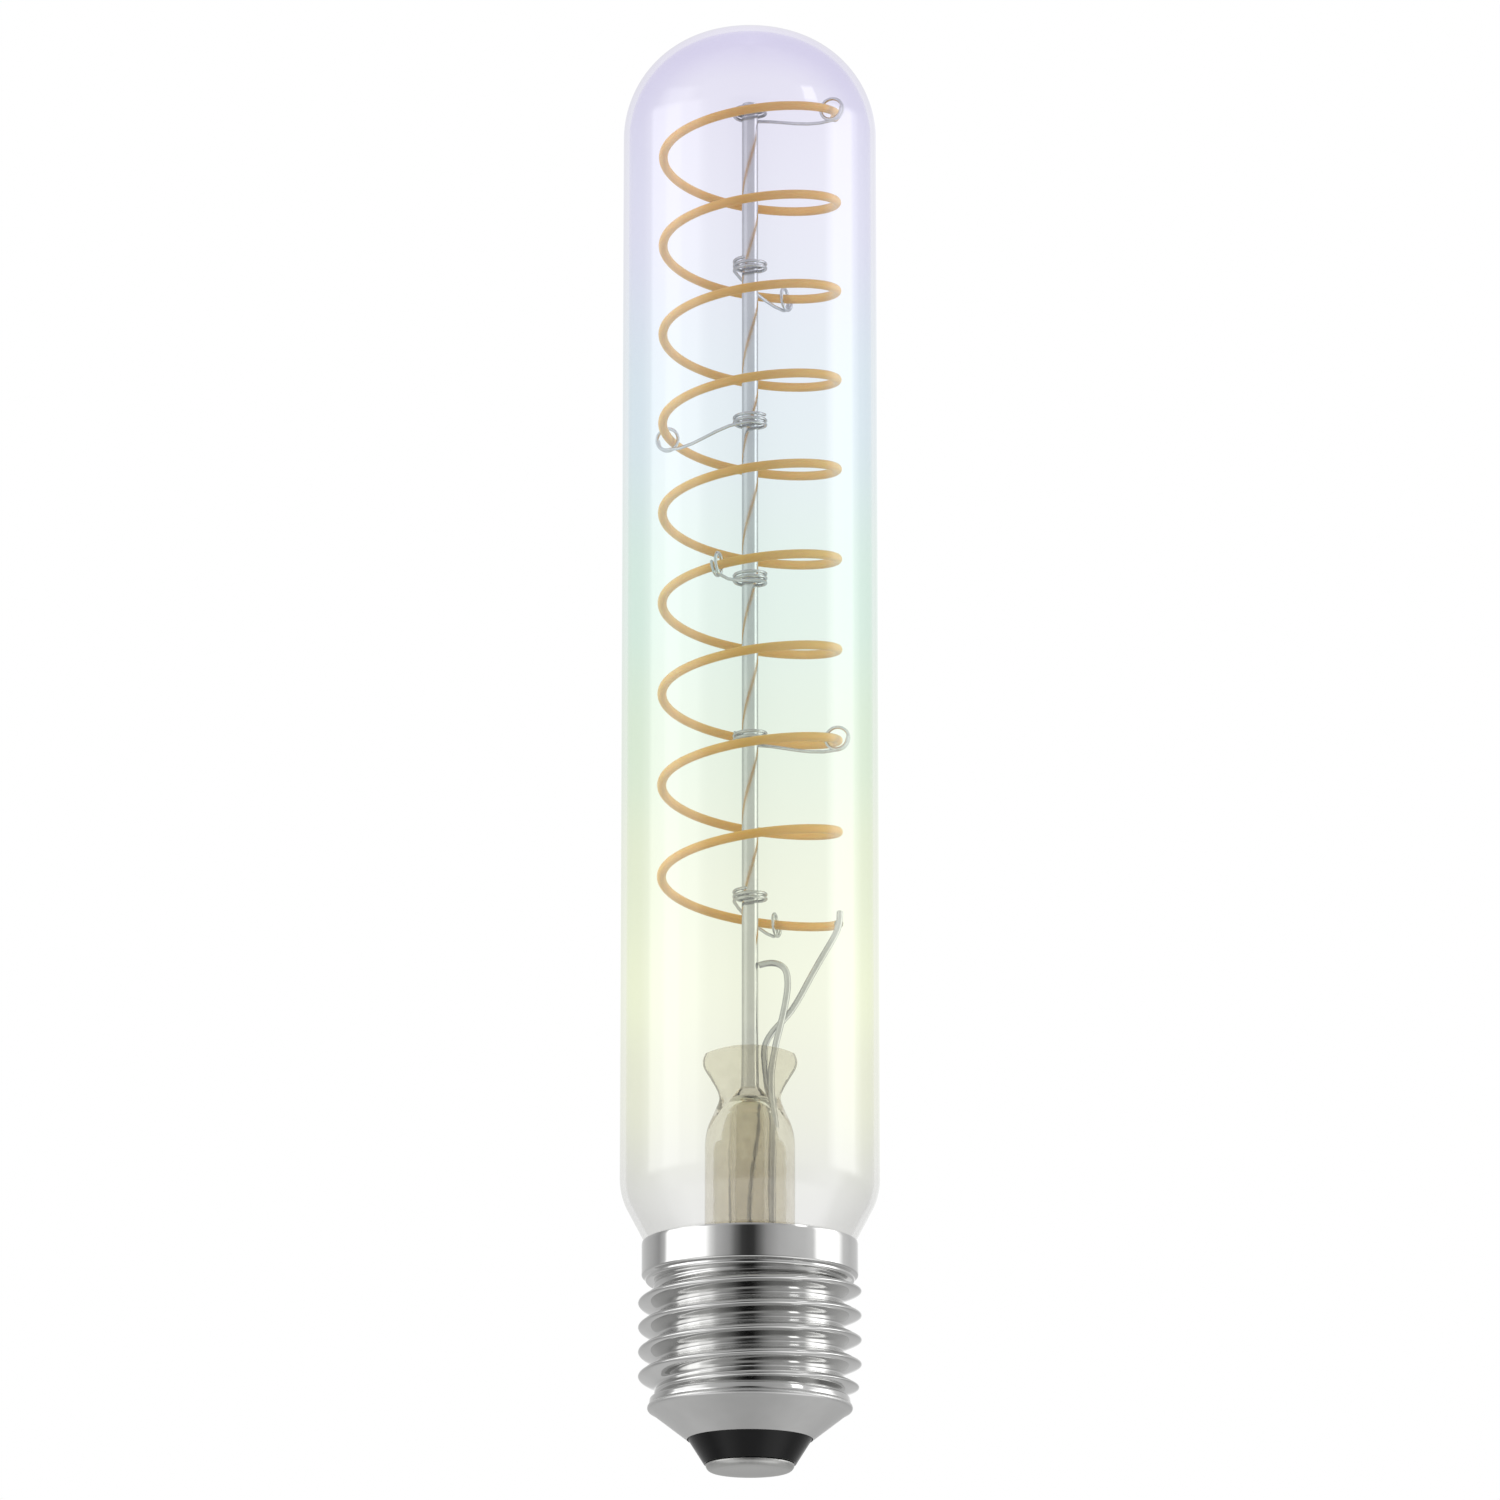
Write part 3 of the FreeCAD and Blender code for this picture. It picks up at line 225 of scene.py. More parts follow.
def turned(name, profile, around, closed=False):
    """A surface of revolution: each point of the profile (radius, height), listed upwards on the
    outside, is carried round the axis. A profile end on the axis becomes a pole."""
    on_axis = [profile[0, 0] < 1e-6 and not closed, profile[-1, 0] < 1e-6 and not closed]
    rim = profile[int(on_axis[0]):len(profile) - int(on_axis[1])]
    rings = round_the_axis(rim[:, 0, None], rim[:, 1, None], around)
    start = (0, 0, profile[0, 1]) if on_axis[0] else None
    end = (0, 0, profile[-1, 1]) if on_axis[1] else None
    return rings_to_piece(name, rings, start, end, closed)


def smooth_path(points, steps):
    """A natural cubic spline through the points, with chord length as its parameter. It returns
    steps samples a span, and the place of each as a count of spans."""
    points = np.array(points, float)
    chords = np.linalg.norm(np.diff(points, axis=0), axis=1)
    count = len(points)
    system = np.zeros((count, count))
    system[0, 0] = system[-1, -1] = 1
    inner = np.arange(1, count - 1)
    system[inner, inner - 1] = chords[:-1]
    system[inner, inner] = 2 * (chords[:-1] + chords[1:])
    system[inner, inner + 1] = chords[1:]
    slopes = np.diff(points, axis=0) / chords[:, None]
    bends = np.zeros_like(points)
    bends[1:-1] = 6 * np.diff(slopes, axis=0)
    bends = np.linalg.solve(system, bends)
    places = np.arange((count - 1) * steps + 1) / steps
    span = np.minimum(places.astype(int), count - 2)
    share = (places - span)[:, None]
    length = chords[span][:, None]
    straight = points[span] * (1 - share) + points[span + 1] * share
    pull = ((1 - share) ** 3 - (1 - share)) * bends[span] + (share ** 3 - share) * bends[span + 1]
    return straight + pull * length ** 2 / 6, places


def wire(name, path, side, diameter, around, rounded):
    """A round wire: a circle carried square to the path, with its first point towards side, one
    direction for each sample. Both ends are domed, as high as rounded times the diameter."""
    along = np.gradient(path, axis=0)
    along /= np.linalg.norm(along, axis=1)[:, None]
    side = np.broadcast_to(side, path.shape)
    side = side - along * np.sum(side * along, axis=1)[:, None]
    side /= np.linalg.norm(side, axis=1)[:, None]
    across = np.cross(along, side)
    angles = np.arange(around) * TURN / around
    dome = np.radians(np.array([18, 36, 54, 72]))
    reach = rounded * diameter
    low = path[0] - along[0] * reach * np.cos(dome)[:, None]
    high = path[-1] + along[-1] * reach * np.cos(dome[::-1])[:, None]
    centres = np.vstack([low, path, high])
    sizes = np.concatenate([np.sin(dome), np.ones(len(path)), np.sin(dome[::-1])]) * diameter / 2
    first = np.arange(len(centres)).clip(len(dome), len(dome) + len(path) - 1) - len(dome)
    spokes = np.cos(angles)[None, :, None] * side[first][:, None] \
        + np.sin(angles)[None, :, None] * across[first][:, None]
    rings = centres[:, None] + spokes * sizes[:, None, None]
    return rings_to_piece(name, rings, path[0] - along[0] * reach, path[-1] + along[-1] * reach)


def glass_profile(inset):
    """The outside of the glass, moved inwards by the inset, as straight lines and circle arcs that
    meet smoothly: neck, blend, slope, shoulder, wall, dome shoulder and dome crown."""
    sine, cosine = math.sin(SHOULDER_ANGLE), math.cos(SHOULDER_ANGLE)
    degrees = math.degrees(SHOULDER_ANGLE)
    slope_radius = TUBE_RADIUS - SHOULDER_RADIUS * (1 - cosine)
    slope_top = Z_CAP_EDGE + (slope_radius - GLASS_AT_CAP) / math.tan(SHOULDER_ANGLE)
    wall_foot = slope_top + SHOULDER_RADIUS * sine
    blend_radius = NECK_RADIUS + NECK_BLEND * (1 - cosine)
    blend_top = Z_CAP_EDGE - (GLASS_AT_CAP - blend_radius) / math.tan(SHOULDER_ANGLE)
    blend_foot = blend_top - NECK_BLEND * sine
    neck = NECK_RADIUS - inset
    offset = TUBE_RADIUS - DOME_SHOULDER
    reach = DOME_CROWN - DOME_SHOULDER
    crown_height = Z_TOP - DOME_CROWN
    dome_height = crown_height + math.sqrt(reach ** 2 - offset ** 2)
    lean = math.degrees(math.acos(offset / reach))
    wall = TUBE_RADIUS - inset
    return np.vstack([
        line((neck, Z_NECK_SEAL), (neck, blend_foot), 6),
        arc((NECK_RADIUS + NECK_BLEND, blend_foot), NECK_BLEND + inset, 180, 180 - degrees, 8),
        arc((TUBE_RADIUS - SHOULDER_RADIUS, wall_foot), SHOULDER_RADIUS - inset, -degrees, 0, 24),
        line((wall, wall_foot), (wall, dome_height), 60)[1:],
        arc((offset, dome_height), DOME_SHOULDER - inset, 0, lean, 40),
        arc((0, crown_height), DOME_CROWN - inset, lean, 90, 24)[1:],
    ])


def glass_envelope():
    """The blown tube, turned: its inside from the top down to the neck, and its outside back up."""
    outside = glass_profile(0)
    inside = glass_profile(GLASS_WALL)
    outside[-1, 0] = inside[-1, 0] = 0
    return turned("glass_envelope_blown", np.vstack([inside[::-1], outside]), 256)


def stem_sizes(height):
    """Half width and half thickness of the stem at a height: a round tube that draws in to a waist
    and fans out flat. Between two levels it is a cubic with a slope given at either end: that of the
    levels around it, or none in the straight tube."""
    depth = Z_PINCH - height
    order = STEM_LEVELS[::-1]
    span = np.clip(np.searchsorted(order[:, 0], depth, side="right") - 1, 0, len(order) - 2)
    width = order[span + 1, 0] - order[span, 0]
    share = np.clip((depth - order[span, 0]) / width, 0, 1)
    sizes = []
    for column in (1, 2):
        slope = np.gradient(order[:, column], order[:, 0])
        slope[-2:] = 0
        sizes.append(order[span, column] * (1 + 2 * share) * (1 - share) ** 2
                     + slope[span] * width * share * (1 - share) ** 2
                     + order[span + 1, column] * share ** 2 * (3 - 2 * share)
                     - slope[span + 1] * width * share ** 2 * (1 - share))
    return sizes


def stem():
    """The pressed stem as one skin. Its profile is turned from its hollow's top down the inside,
    round the flare's rim and up the outside. From there its rings are ovals of the half width times
    the cosine and the half thickness times the sine, and they sink at their sides under an arch, a
    circle across the width, that fades in from the waist up. Smaller ovals close the top."""
    around = 96
    angles = np.arange(around) * TURN / around
    profile = np.vstack([
        arc((0, Z_PINCH - 9.2), 2.9, 90, 12, 14)[1:],
        line((2.84, Z_PINCH - 8.6), (STEM_BORE, Z_STEM_TUBE), 12),
        line((STEM_BORE, Z_STEM_TUBE), (STEM_BORE, Z_FLARE), 12),
        arc((STEM_BORE + FLARE_RADIUS, Z_FLARE), FLARE_RADIUS, 180, 234.5, 16),
        [(NECK_RADIUS - 0.1, Z_NECK_FOOT), (NECK_RADIUS, Z_NECK_FOOT + 0.1),
         (NECK_RADIUS, Z_NECK_SEAL), (NECK_RADIUS - GLASS_WALL, Z_NECK_SEAL)],
        arc((STEM_RADIUS + FLARE_RADIUS, Z_FLARE + 0.36), FLARE_RADIUS, 231, 180, 16),
        line((STEM_RADIUS, Z_FLARE + 0.5), (STEM_RADIUS, Z_STEM_TUBE), 12),
    ])
    low = round_the_axis(profile[:, 0, None], profile[:, 1, None], around)
    levels = np.linspace(Z_STEM_TUBE, Z_PINCH, 60)
    width, thick = stem_sizes(levels)
    sag = PINCH_ARCH - np.sqrt(PINCH_ARCH ** 2 - (width[:, None] * np.cos(angles)) ** 2)
    fade = np.clip((levels - Z_WAIST) / WAIST_DEPTH, 0, 1)[:, None] ** 2
    high = np.stack([width[:, None] * np.cos(angles), thick[:, None] * np.sin(angles),
                     levels[:, None] - sag * fade], axis=-1)
    close = np.array([0.97, 0.9, 0.75, 0.5, 0.25])[:, None]
    arch = np.sqrt(PINCH_ARCH ** 2 - (close * width[-1] * np.cos(angles)) ** 2)
    top = np.stack([close * width[-1] * np.cos(angles), close * thick[-1] * np.sin(angles),
                    Z_PINCH - PINCH_ARCH + arch + PINCH_CROWN * (1 - close ** 4)], axis=-1)
    rings = np.concatenate([low, high[1:], top])
    return rings_to_piece("stem_pressed", rings, (0, 0, Z_PINCH - 6.3), (0, 0, Z_PINCH + PINCH_CROWN))


def exhaust_tube():
    """The exhaust tube's skin, turned: inside from the dome down to the tip, outside back up."""
    dome_foot = Z_ROD_FOOT - 5
    tip = Z_NECK_SEAL - EXHAUST_TIP
    profile = np.vstack([
        arc((0, dome_foot), 1.0, 90, 0, 12) * (EXHAUST_BORE, 1) + (0, 2.8),
        line((EXHAUST_BORE, dome_foot + 2.7), (EXHAUST_BORE, Z_NECK_SEAL), 20),
        line((EXHAUST_BORE, Z_NECK_SEAL), (0.2, tip + 1.2), 6),
        [(0.2, tip + 1.2), (0.3, tip), (0.9, tip + 0.4)],
        line((1.2, tip + 0.7), (EXHAUST_RADIUS, Z_NECK_SEAL), 8),
        line((EXHAUST_RADIUS, Z_NECK_SEAL), (EXHAUST_RADIUS, dome_foot), 20),
        arc((EXHAUST_RADIUS - EXHAUST_DOME, dome_foot), EXHAUST_DOME, 0, 33.5, 14),
        [(0, Z_ROD_FOOT)],
    ])
    profile[0, 0] = 0
    return turned("exhaust_tube_drawn", profile, 64)


def filament_point(turns_down):
    """Points of the filament's middle line, so many turns below its upper right end: a right-handed
    helix of the filament's radius, which falls by an even pitch."""
    turns_down = np.asarray(turns_down, float)
    angle = -TURN * turns_down
    pitch = (Z_FILAMENT_TOP - Z_FILAMENT_FOOT) / FILAMENT_TURNS
    return np.stack([FILAMENT_RADIUS * np.cos(angle), FILAMENT_RADIUS * np.sin(angle),
                     Z_FILAMENT_TOP - pitch * turns_down], axis=-1)


def led_filament():
    """The strip: a circle carried up the right-handed helix, past its upper end by the overrun."""
    turns = np.linspace(FILAMENT_TURNS, -FILAMENT_OVERRUN, 1100)
    return wire("led_filament_strip", filament_point(turns), (0, 0, 1), FILAMENT_THICKNESS, 20, 0.06)


def centre_rod():
    """The rod, turned, with a small round on its upper edge."""
    foot = Z_ROD_FOOT - 0.3
    profile = np.vstack([
        [(0, foot)],
        line((ROD_RADIUS, foot), (ROD_RADIUS, Z_ROD_TOP - ROD_EDGE), 80),
        arc((ROD_RADIUS - ROD_EDGE, Z_ROD_TOP - ROD_EDGE), ROD_EDGE, 0, 90, 7),
        [(0, Z_ROD_TOP)],
    ])
    return turned("centre_rod_drawn", profile, 48)


def support_hook(index):
    """A hook: a helical coil round the rod, an arm that leaves it on a tangent, and a helical ring
    round the filament, joined by a spline. The wire's seam faces up on the coil and turns to the
    side on the ring."""
    held = filament_point(HOOK_FIRST + index * HOOK_SPACING)
    direction = math.atan2(held[1], held[0])
    outward = np.array([math.cos(direction), math.sin(direction), 0])
    sideways = np.array([-math.sin(direction), math.cos(direction), 0])
    up = np.array([0, 0, 1.0])
    steps = 12
    lean = HOOK_COIL - (ROD_RADIUS + HOOK_WIRE / 2 + HOOK_PLAY)
    back = np.arange(round(HOOK_COIL_TURNS * steps), -1, -1)[:, None] / steps
    angle = direction + math.pi / 2 + TURN * back
    coil = np.array([0, -lean, held[2] + HOOK_RISE]) \
        + HOOK_COIL * np.hstack([np.cos(angle), np.sin(angle), 0 * angle]) \
        + HOOK_COIL_PITCH * (back - HOOK_COIL_TURNS / 2) * up
    play = HOOK_RING - (FILAMENT_THICKNESS + HOOK_WIRE) / 2
    share = np.arange(round(HOOK_RING_TURNS * steps) + 1)[:, None] / steps
    angle = TURN * share - math.pi / 2
    ring = held + outward * (play / 2 + HOOK_RING * np.cos(angle)) + up * HOOK_RING * np.sin(angle) \
        - sideways * HOOK_RING_PITCH * (share - 0.5)
    path, places = smooth_path(np.vstack([coil, ring]), 6)
    turn_over = np.clip(places - (len(coil) - 1), 0, 1)[:, None]
    return wire(f"support_hook_{index + 1}_bent", path, up * (1 - turn_over) + sideways * turn_over,
                HOOK_WIRE, 12, 0.5)


def lead_wire_rod():
    """The lead that is bent over at the top and welded to the rod's side: a circle carried along a
    spline through its bends, from the board up."""
    x = 0.74 * LEAD_OFF_AXIS
    y = -math.sqrt(LEAD_OFF_AXIS ** 2 - x ** 2)
    points = [
        (x, y, Z_BOARD_TOP), (x, y, Z_LEAD_STRAIGHT), (x, y, Z_WAIST - 16), (x, y, Z_WAIST - 9),
        (2.55, -1.8, Z_WAIST - 3.6), (2.28, -LEAD_SPREAD, Z_WAIST + 0.4),
        (3.02, -LEAD_SPREAD, Z_PINCH + 0.1), (3.75, -LEAD_SPREAD, Z_PINCH + 3.2),
        (4.33, -LEAD_SPREAD, Z_PINCH + 6.2), (4.42, -LEAD_SPREAD, Z_PINCH + 8.2),
        (3.98, -LEAD_SPREAD, Z_PINCH + 9.5), (2.75, -LEAD_SPREAD, Z_PINCH + 10.05),
        (1.1, -LEAD_SPREAD, Z_PINCH + 9.8),
    ]
    path, _ = smooth_path(points, 10)
    return wire("lead_wire_rod_bent", path, (0, 1, 0), LEAD_DIAMETER, 16, 0.1)


def lead_wire_filament():
    """The lead that is welded to the filament's lower end: a circle carried along a spline through
    its bends, from the board up."""
    end = filament_point(FILAMENT_TURNS)
    weld = -(LEAD_DIAMETER / 2 + 0.25)
    points = [
        (0.0, LEAD_OFF_AXIS, Z_BOARD_TOP), (0.0, LEAD_OFF_AXIS, Z_LEAD_STRAIGHT),
        (0.0, LEAD_OFF_AXIS, Z_WAIST - 16), (0.25, LEAD_OFF_AXIS, Z_WAIST - 9),
        (1.3, 2.9, Z_WAIST - 3.6), (1.75, 1.6, Z_WAIST + 0.1), (1.70, LEAD_SPREAD, Z_PINCH - 2.4),
        (1.73, LEAD_SPREAD, Z_PINCH + 0.1), (2.65, LEAD_SPREAD, Z_PINCH + 1.9),
        (4.33, LEAD_SPREAD, Z_PINCH + 3.8), (6.92, 0.1, Z_PINCH + 8.0),
        (9.28, -0.35, Z_PINCH + 12.1), (end[0], weld, end[2] - 0.2),
        (end[0] + 0.12, weld, end[2] + 1.3),
    ]
    path, _ = smooth_path(points, 10)
    return wire("lead_wire_filament_bent", path, (0, 1, 0), LEAD_DIAMETER, 16, 0.25)


def screw_shell():
    """The rolled sheet, in rings from the cone's mouth up the outside to the collar's edge and back
    down the inside. On the thread the radius is the root plus half the depth times one plus a cosine
    of height over pitch less the turn's share, which fades at both ends. The inside lies under it by
    the wall times the root of one plus the flank's slope squared, so the sheet is even."""
    around = 180
    angles = np.arange(around) * TURN / around
    wall = edge = SHELL_WALL
    step = Z_COLLAR + COLLAR_FOOT_HEIGHT
    cone_top = CONE_TOP - CONE_EDGE
    collar, collar_foot = COLLAR_RADIUS - wall, COLLAR_FOOT_RADIUS - wall
    flange = THREAD_ROOT - 0.24
    outer = np.linspace(Z_THREAD, Z_COLLAR, 231)
    inner = np.linspace(Z_COLLAR, Z_THREAD, 120)
    # Each run: its points, whether it is threaded, and the wall where it lies under a thread.
    runs = (
        (line((CONE_MOUTH, Z_CONE), (cone_top, Z_RIM - CONE_EDGE), 24), 0, 0),
        (arc((cone_top, Z_RIM), CONE_EDGE, -45, 60, 10), 0, 0),
        (line((RIM_RADIUS + 0.06, Z_RIM + 0.5), (RIM_RADIUS, Z_THREAD - edge), 6), 0, 0),
        (arc((RIM_RADIUS - edge, Z_THREAD - edge), edge, 10, 80, 5), 0, 0),
        (np.stack([np.full(len(outer), THREAD_ROOT), outer], axis=1), 1, 0),
        (arc((collar_foot, Z_COLLAR + edge), edge, -80, 0, 6)[:-1], 0, 0),
        (line((COLLAR_FOOT_RADIUS, Z_COLLAR + edge), (COLLAR_FOOT_RADIUS, step - 0.08), 4), 0, 0),
        (arc((collar, step + edge), edge, -80, 0, 6)[:-1], 0, 0),
        (line((COLLAR_RADIUS, step + edge), (COLLAR_RADIUS, Z_CAP_EDGE - COLLAR_LIP), 20), 0, 0),
        ([(COLLAR_RADIUS - 0.04, Z_CAP_EDGE), (collar + 0.04, Z_CAP_EDGE),
          (collar, Z_CAP_EDGE - COLLAR_LIP), (collar, step + wall), (collar_foot, step + wall),
          (collar_foot, Z_COLLAR + wall), (flange, Z_COLLAR + wall)], 0, 0),
        (np.stack([np.full(len(inner), THREAD_ROOT - wall), inner], axis=1), 1, wall),
        ([(flange, Z_THREAD - wall), (RIM_RADIUS - CONE_EDGE, Z_THREAD - wall)], 0, 0),
        (line((cone_top, Z_RIM + 0.06), (CONE_MOUTH, Z_CONE + CONE_SHEET), 12), 0, 0),
        ([(CONE_MOUTH, Z_CONE + CONE_SHEET)], 0, 0),
    )
    profile = np.vstack([points for points, _, _ in runs])
    threaded = np.concatenate([np.full(len(points), share) for points, share, _ in runs])
    under = np.concatenate([np.full(len(points), depth) for points, _, depth in runs])[:, None]
    height = profile[:, 1]
    run_in = np.clip((height - Z_THREAD) / THREAD_RUN_IN, 0, 1)
    run_out = np.clip((Z_COLLAR - height) / THREAD_RUN_OUT, 0, 1)
    fade = threaded * run_in ** 2 * (3 - 2 * run_in) * run_out ** 2 * (3 - 2 * run_out)
    ridge = THREAD_DEPTH * fade[:, None] / 2
    phase = TURN * (height - Z_THREAD - THREAD_START)[:, None] / THREAD_PITCH - angles
    slope = ridge * TURN / THREAD_PITCH * np.sin(phase)
    radius = profile[:, 0, None] + ridge * (1 + np.cos(phase)) - under * (np.sqrt(1 + slope ** 2) - 1)
    return rings_to_piece("screw_shell_rolled", round_the_axis(radius, height[:, None], around),
                          closed=True)


def insulator():
    """The black ring, turned, with softened edges, and its rim inside the cap."""
    profile = np.vstack([
        line((CONTACT_NECK, Z_INSULATOR), (INSULATOR_FOOT - 0.1, Z_INSULATOR), 4),
        line((INSULATOR_FOOT, Z_INSULATOR + 0.08), (CONE_MOUTH - 0.15, Z_CONE - 0.02), 16),
        line((CONE_MOUTH - 0.1, Z_CONE + 0.02), (CONE_MOUTH - 0.02, Z_CONE + CONE_SHEET), 2),
        line((CONE_MOUTH + 0.05, Z_CONE + 0.4), (INSULATOR_SHOULDER, Z_RIM + 0.05), 6),
        [(INSULATOR_SHOULDER, Z_RIM + 0.05), (INSULATOR_RIM, Z_RIM + 0.18),
         (INSULATOR_RIM, Z_INSULATOR_RIM), (INSULATOR_RIM_BORE, Z_INSULATOR_RIM),
         (INSULATOR_RIM_BORE, Z_RIM - 0.3),
         (INSULATOR_FOOT, Z_INSULATOR + INSULATOR_FLOOR),
         (CONTACT_NECK, Z_INSULATOR + INSULATOR_FLOOR)],
    ])
    return turned("insulator_moulded", profile, 96, closed=True)


def centre_contact():
    """The disc, turned, with a rounded edge, and its hollow neck through the insulator."""
    neck_top, flange_top = 2.8, 3.1
    profile = np.vstack([
        [(0, 0.06)],
        arc((3.2, 0.5), 0.5, -96, -90, 3),
        arc((CONTACT_RADIUS - CONTACT_EDGE, CONTACT_EDGE), CONTACT_EDGE, -90, -4, 10),
        [(CONTACT_RADIUS - 0.02, Z_INSULATOR), (CONTACT_NECK, Z_INSULATOR),
         (CONTACT_NECK, neck_top), (CONTACT_FLANGE, neck_top), (CONTACT_FLANGE, flange_top),
         (CONTACT_NECK_BORE, flange_top), (CONTACT_NECK_BORE, CONTACT_BORE_FLOOR),
         (0, CONTACT_BORE_FLOOR)],
    ])
    return turned("centre_contact_pressed", profile, 96)


# Materials.

# A noise texture's level lies mostly between these two, so tone and polish drift from one to the other.
PATCH_LOW = 0.3
PATCH_HIGH = 0.7
PATCH_ROUGHNESS = 0.55
# How many glass surfaces a ray bends at before it only takes the tint: the envelope's front wall, and
# enough for the stem with the exhaust tube in it.
TUBE_SURFACES = 2
STEM_SURFACES = 12
# A Mix node's two colours among its inputs, and its colour among its outputs.
FIRST_COLOUR, SECOND_COLOUR, MIXED_COLOUR = 6, 7, 2


def linear(hexadecimal):
    """A colour written as sRGB hex, as the linear values that Blender reads."""
    values = np.array([int(hexadecimal[index:index + 2], 16) for index in (0, 2, 4)]) / 255
    low = values / 12.92
    high = ((values + 0.055) / 1.055) ** 2.4
    return (*np.where(values <= 0.04045, low, high), 1.0)


def two_tones(first, second):
    """A ramp's stops for patches that drift between two sRGB colours."""
    return (PATCH_LOW, linear(first)), (PATCH_HIGH, linear(second))


def add_node(holder, kind, settings=(), inputs=(), stops=()):
    """A node with its settings, what its inputs hold or are linked to, by name or number, and a
    colour ramp's stops as (place, linear colour)."""
    tree = holder.node_tree
    node = tree.nodes.new(kind)
    for name, value in dict(settings).items():
        setattr(node, name, value)
    for name, value in dict(inputs).items():
        if isinstance(value, bpy.types.NodeSocket):
            tree.links.new(value, node.inputs[name])
        else:
            node.inputs[name].default_value = value
    if stops:
        elements = node.color_ramp.elements
        elements.remove(elements[-1])
        elements[0].position, elements[0].color = stops[0]
        for position, colour in stops[1:]:
            elements.new(position).color = colour
    return node


def new_material(name):
    """An empty material, and its Object coordinates in metres."""
    material = bpy.data.materials.new(name)
    material.use_nodes = True
    material.node_tree.nodes.clear()
    return material, add_node(material, "ShaderNodeTexCoord").outputs["Object"]


def finish_glass(material, shader, colour, surfaces):
    """Glass that bends what the eye sees through it, lets the lamps light what it holds and lets the
    metal inside mirror the studio. Past so many glass surfaces it only tints, by the root of its
    colour at each."""
    path = add_node(material, "ShaderNodeLightPath").outputs
    lit = add_node(material, "ShaderNodeMath", {"operation": "MAXIMUM"},
                   {0: path["Is Shadow Ray"], 1: path["Is Reflection Ray"]})
    deep = add_node(material, "ShaderNodeMath", {"operation": "GREATER_THAN"},
                    {0: path["Transmission Depth"], 1: surfaces - 0.5})
    straight = add_node(material, "ShaderNodeMath", {"operation": "MAXIMUM"},
                        {0: lit.outputs["Value"], 1: deep.outputs["Value"]})
    thin = add_node(material, "ShaderNodeGamma", inputs={"Color": colour, "Gamma": 0.5})
    clear = add_node(material, "ShaderNodeBsdfTransparent", inputs={"Color": thin.outputs["Color"]})
    mix = add_node(material, "ShaderNodeMixShader", inputs={
        0: straight.outputs["Value"], 1: shader.outputs["BSDF"], 2: clear.outputs["BSDF"]})
    add_node(material, "ShaderNodeOutputMaterial", inputs={"Surface": mix.outputs["Shader"]})


def soda_lime_glass():
    """Soda-lime glass, drawn and blown, 0.7 mm thick, with a vapour-coated tint that changes up the
    tube: the eye sees lavender at the dome, then sky blue, mint and primrose, and clear glass at the
    cap, and more of each where the wall is seen edge-on. The IOR is set."""
    material, place = new_material("blown_soda_lime_glass")
    split = add_node(material, "ShaderNodeSeparateXYZ", inputs={"Vector": place})
    height = add_node(material, "ShaderNodeMapRange", inputs={
        "Value": split.outputs["Z"], "From Min": Z_CAP_EDGE * MM, "From Max": Z_TOP * MM})
    coating = add_node(material, "ShaderNodeValToRGB", inputs={"Fac": height.outputs["Result"]}, stops=(
        (0.02, linear("F2F2F1")), (0.12, linear("F8F9F1")), (0.20, linear("FBFDF2")),
        (0.30, linear("F8FBF1")), (0.40, linear("F4FAF2")), (0.52, linear("F2FAF6")),
        (0.68, linear("F3F8FB")), (0.85, linear("F5F5FC")), (1.0, linear("F2F0FA")),
    ))
    coating.color_ramp.interpolation = "EASE"
    facing = add_node(material, "ShaderNodeLayerWeight", inputs={"Blend": 0.5})
    path_length = add_node(material, "ShaderNodeMapRange", inputs={
        "Value": facing.outputs["Facing"], "From Min": 0.25, "From Max": 0.95,
        "To Min": 1.0, "To Max": 3.2})
    tint = add_node(material, "ShaderNodeGamma", inputs={
        "Color": coating.outputs["Color"], "Gamma": path_length.outputs["Result"]}).outputs["Color"]
    shader = add_node(material, "ShaderNodeBsdfPrincipled", inputs={
        "Base Color": tint, "Roughness": 0.0, "IOR": 1.65, "Transmission Weight": 1.0})
    finish_glass(material, shader, tint, TUBE_SURFACES)
    return material


def lead_glass(name, tint, deeper, ior):
    """Lead glass, drawn to a tube or softened and pressed: the eye sees a slightly olive glass with
    streaks 1.6 mm wide and a faint waviness. The IOR is set."""
    material, place = new_material(name)
    streaks = add_node(material, "ShaderNodeTexNoise", inputs={
        "Vector": place, "Scale": 1 / (1.6 * MM), "Detail": 3, "Roughness": PATCH_ROUGHNESS}).outputs["Fac"]
    colour = add_node(material, "ShaderNodeValToRGB", inputs={"Fac": streaks},
                      stops=two_tones(tint, deeper)).outputs["Color"]
    relief = add_node(material, "ShaderNodeBump", inputs={
        "Height": streaks, "Distance": 0.05 * MM, "Strength": 1.0})
    shader = add_node(material, "ShaderNodeBsdfPrincipled", inputs={
        "Base Color": colour, "Normal": relief.outputs["Normal"], "Roughness": 0.0, "IOR": ior,
        "Transmission Weight": 1.0})
    finish_glass(material, shader, colour, STEM_SURFACES)
    return material


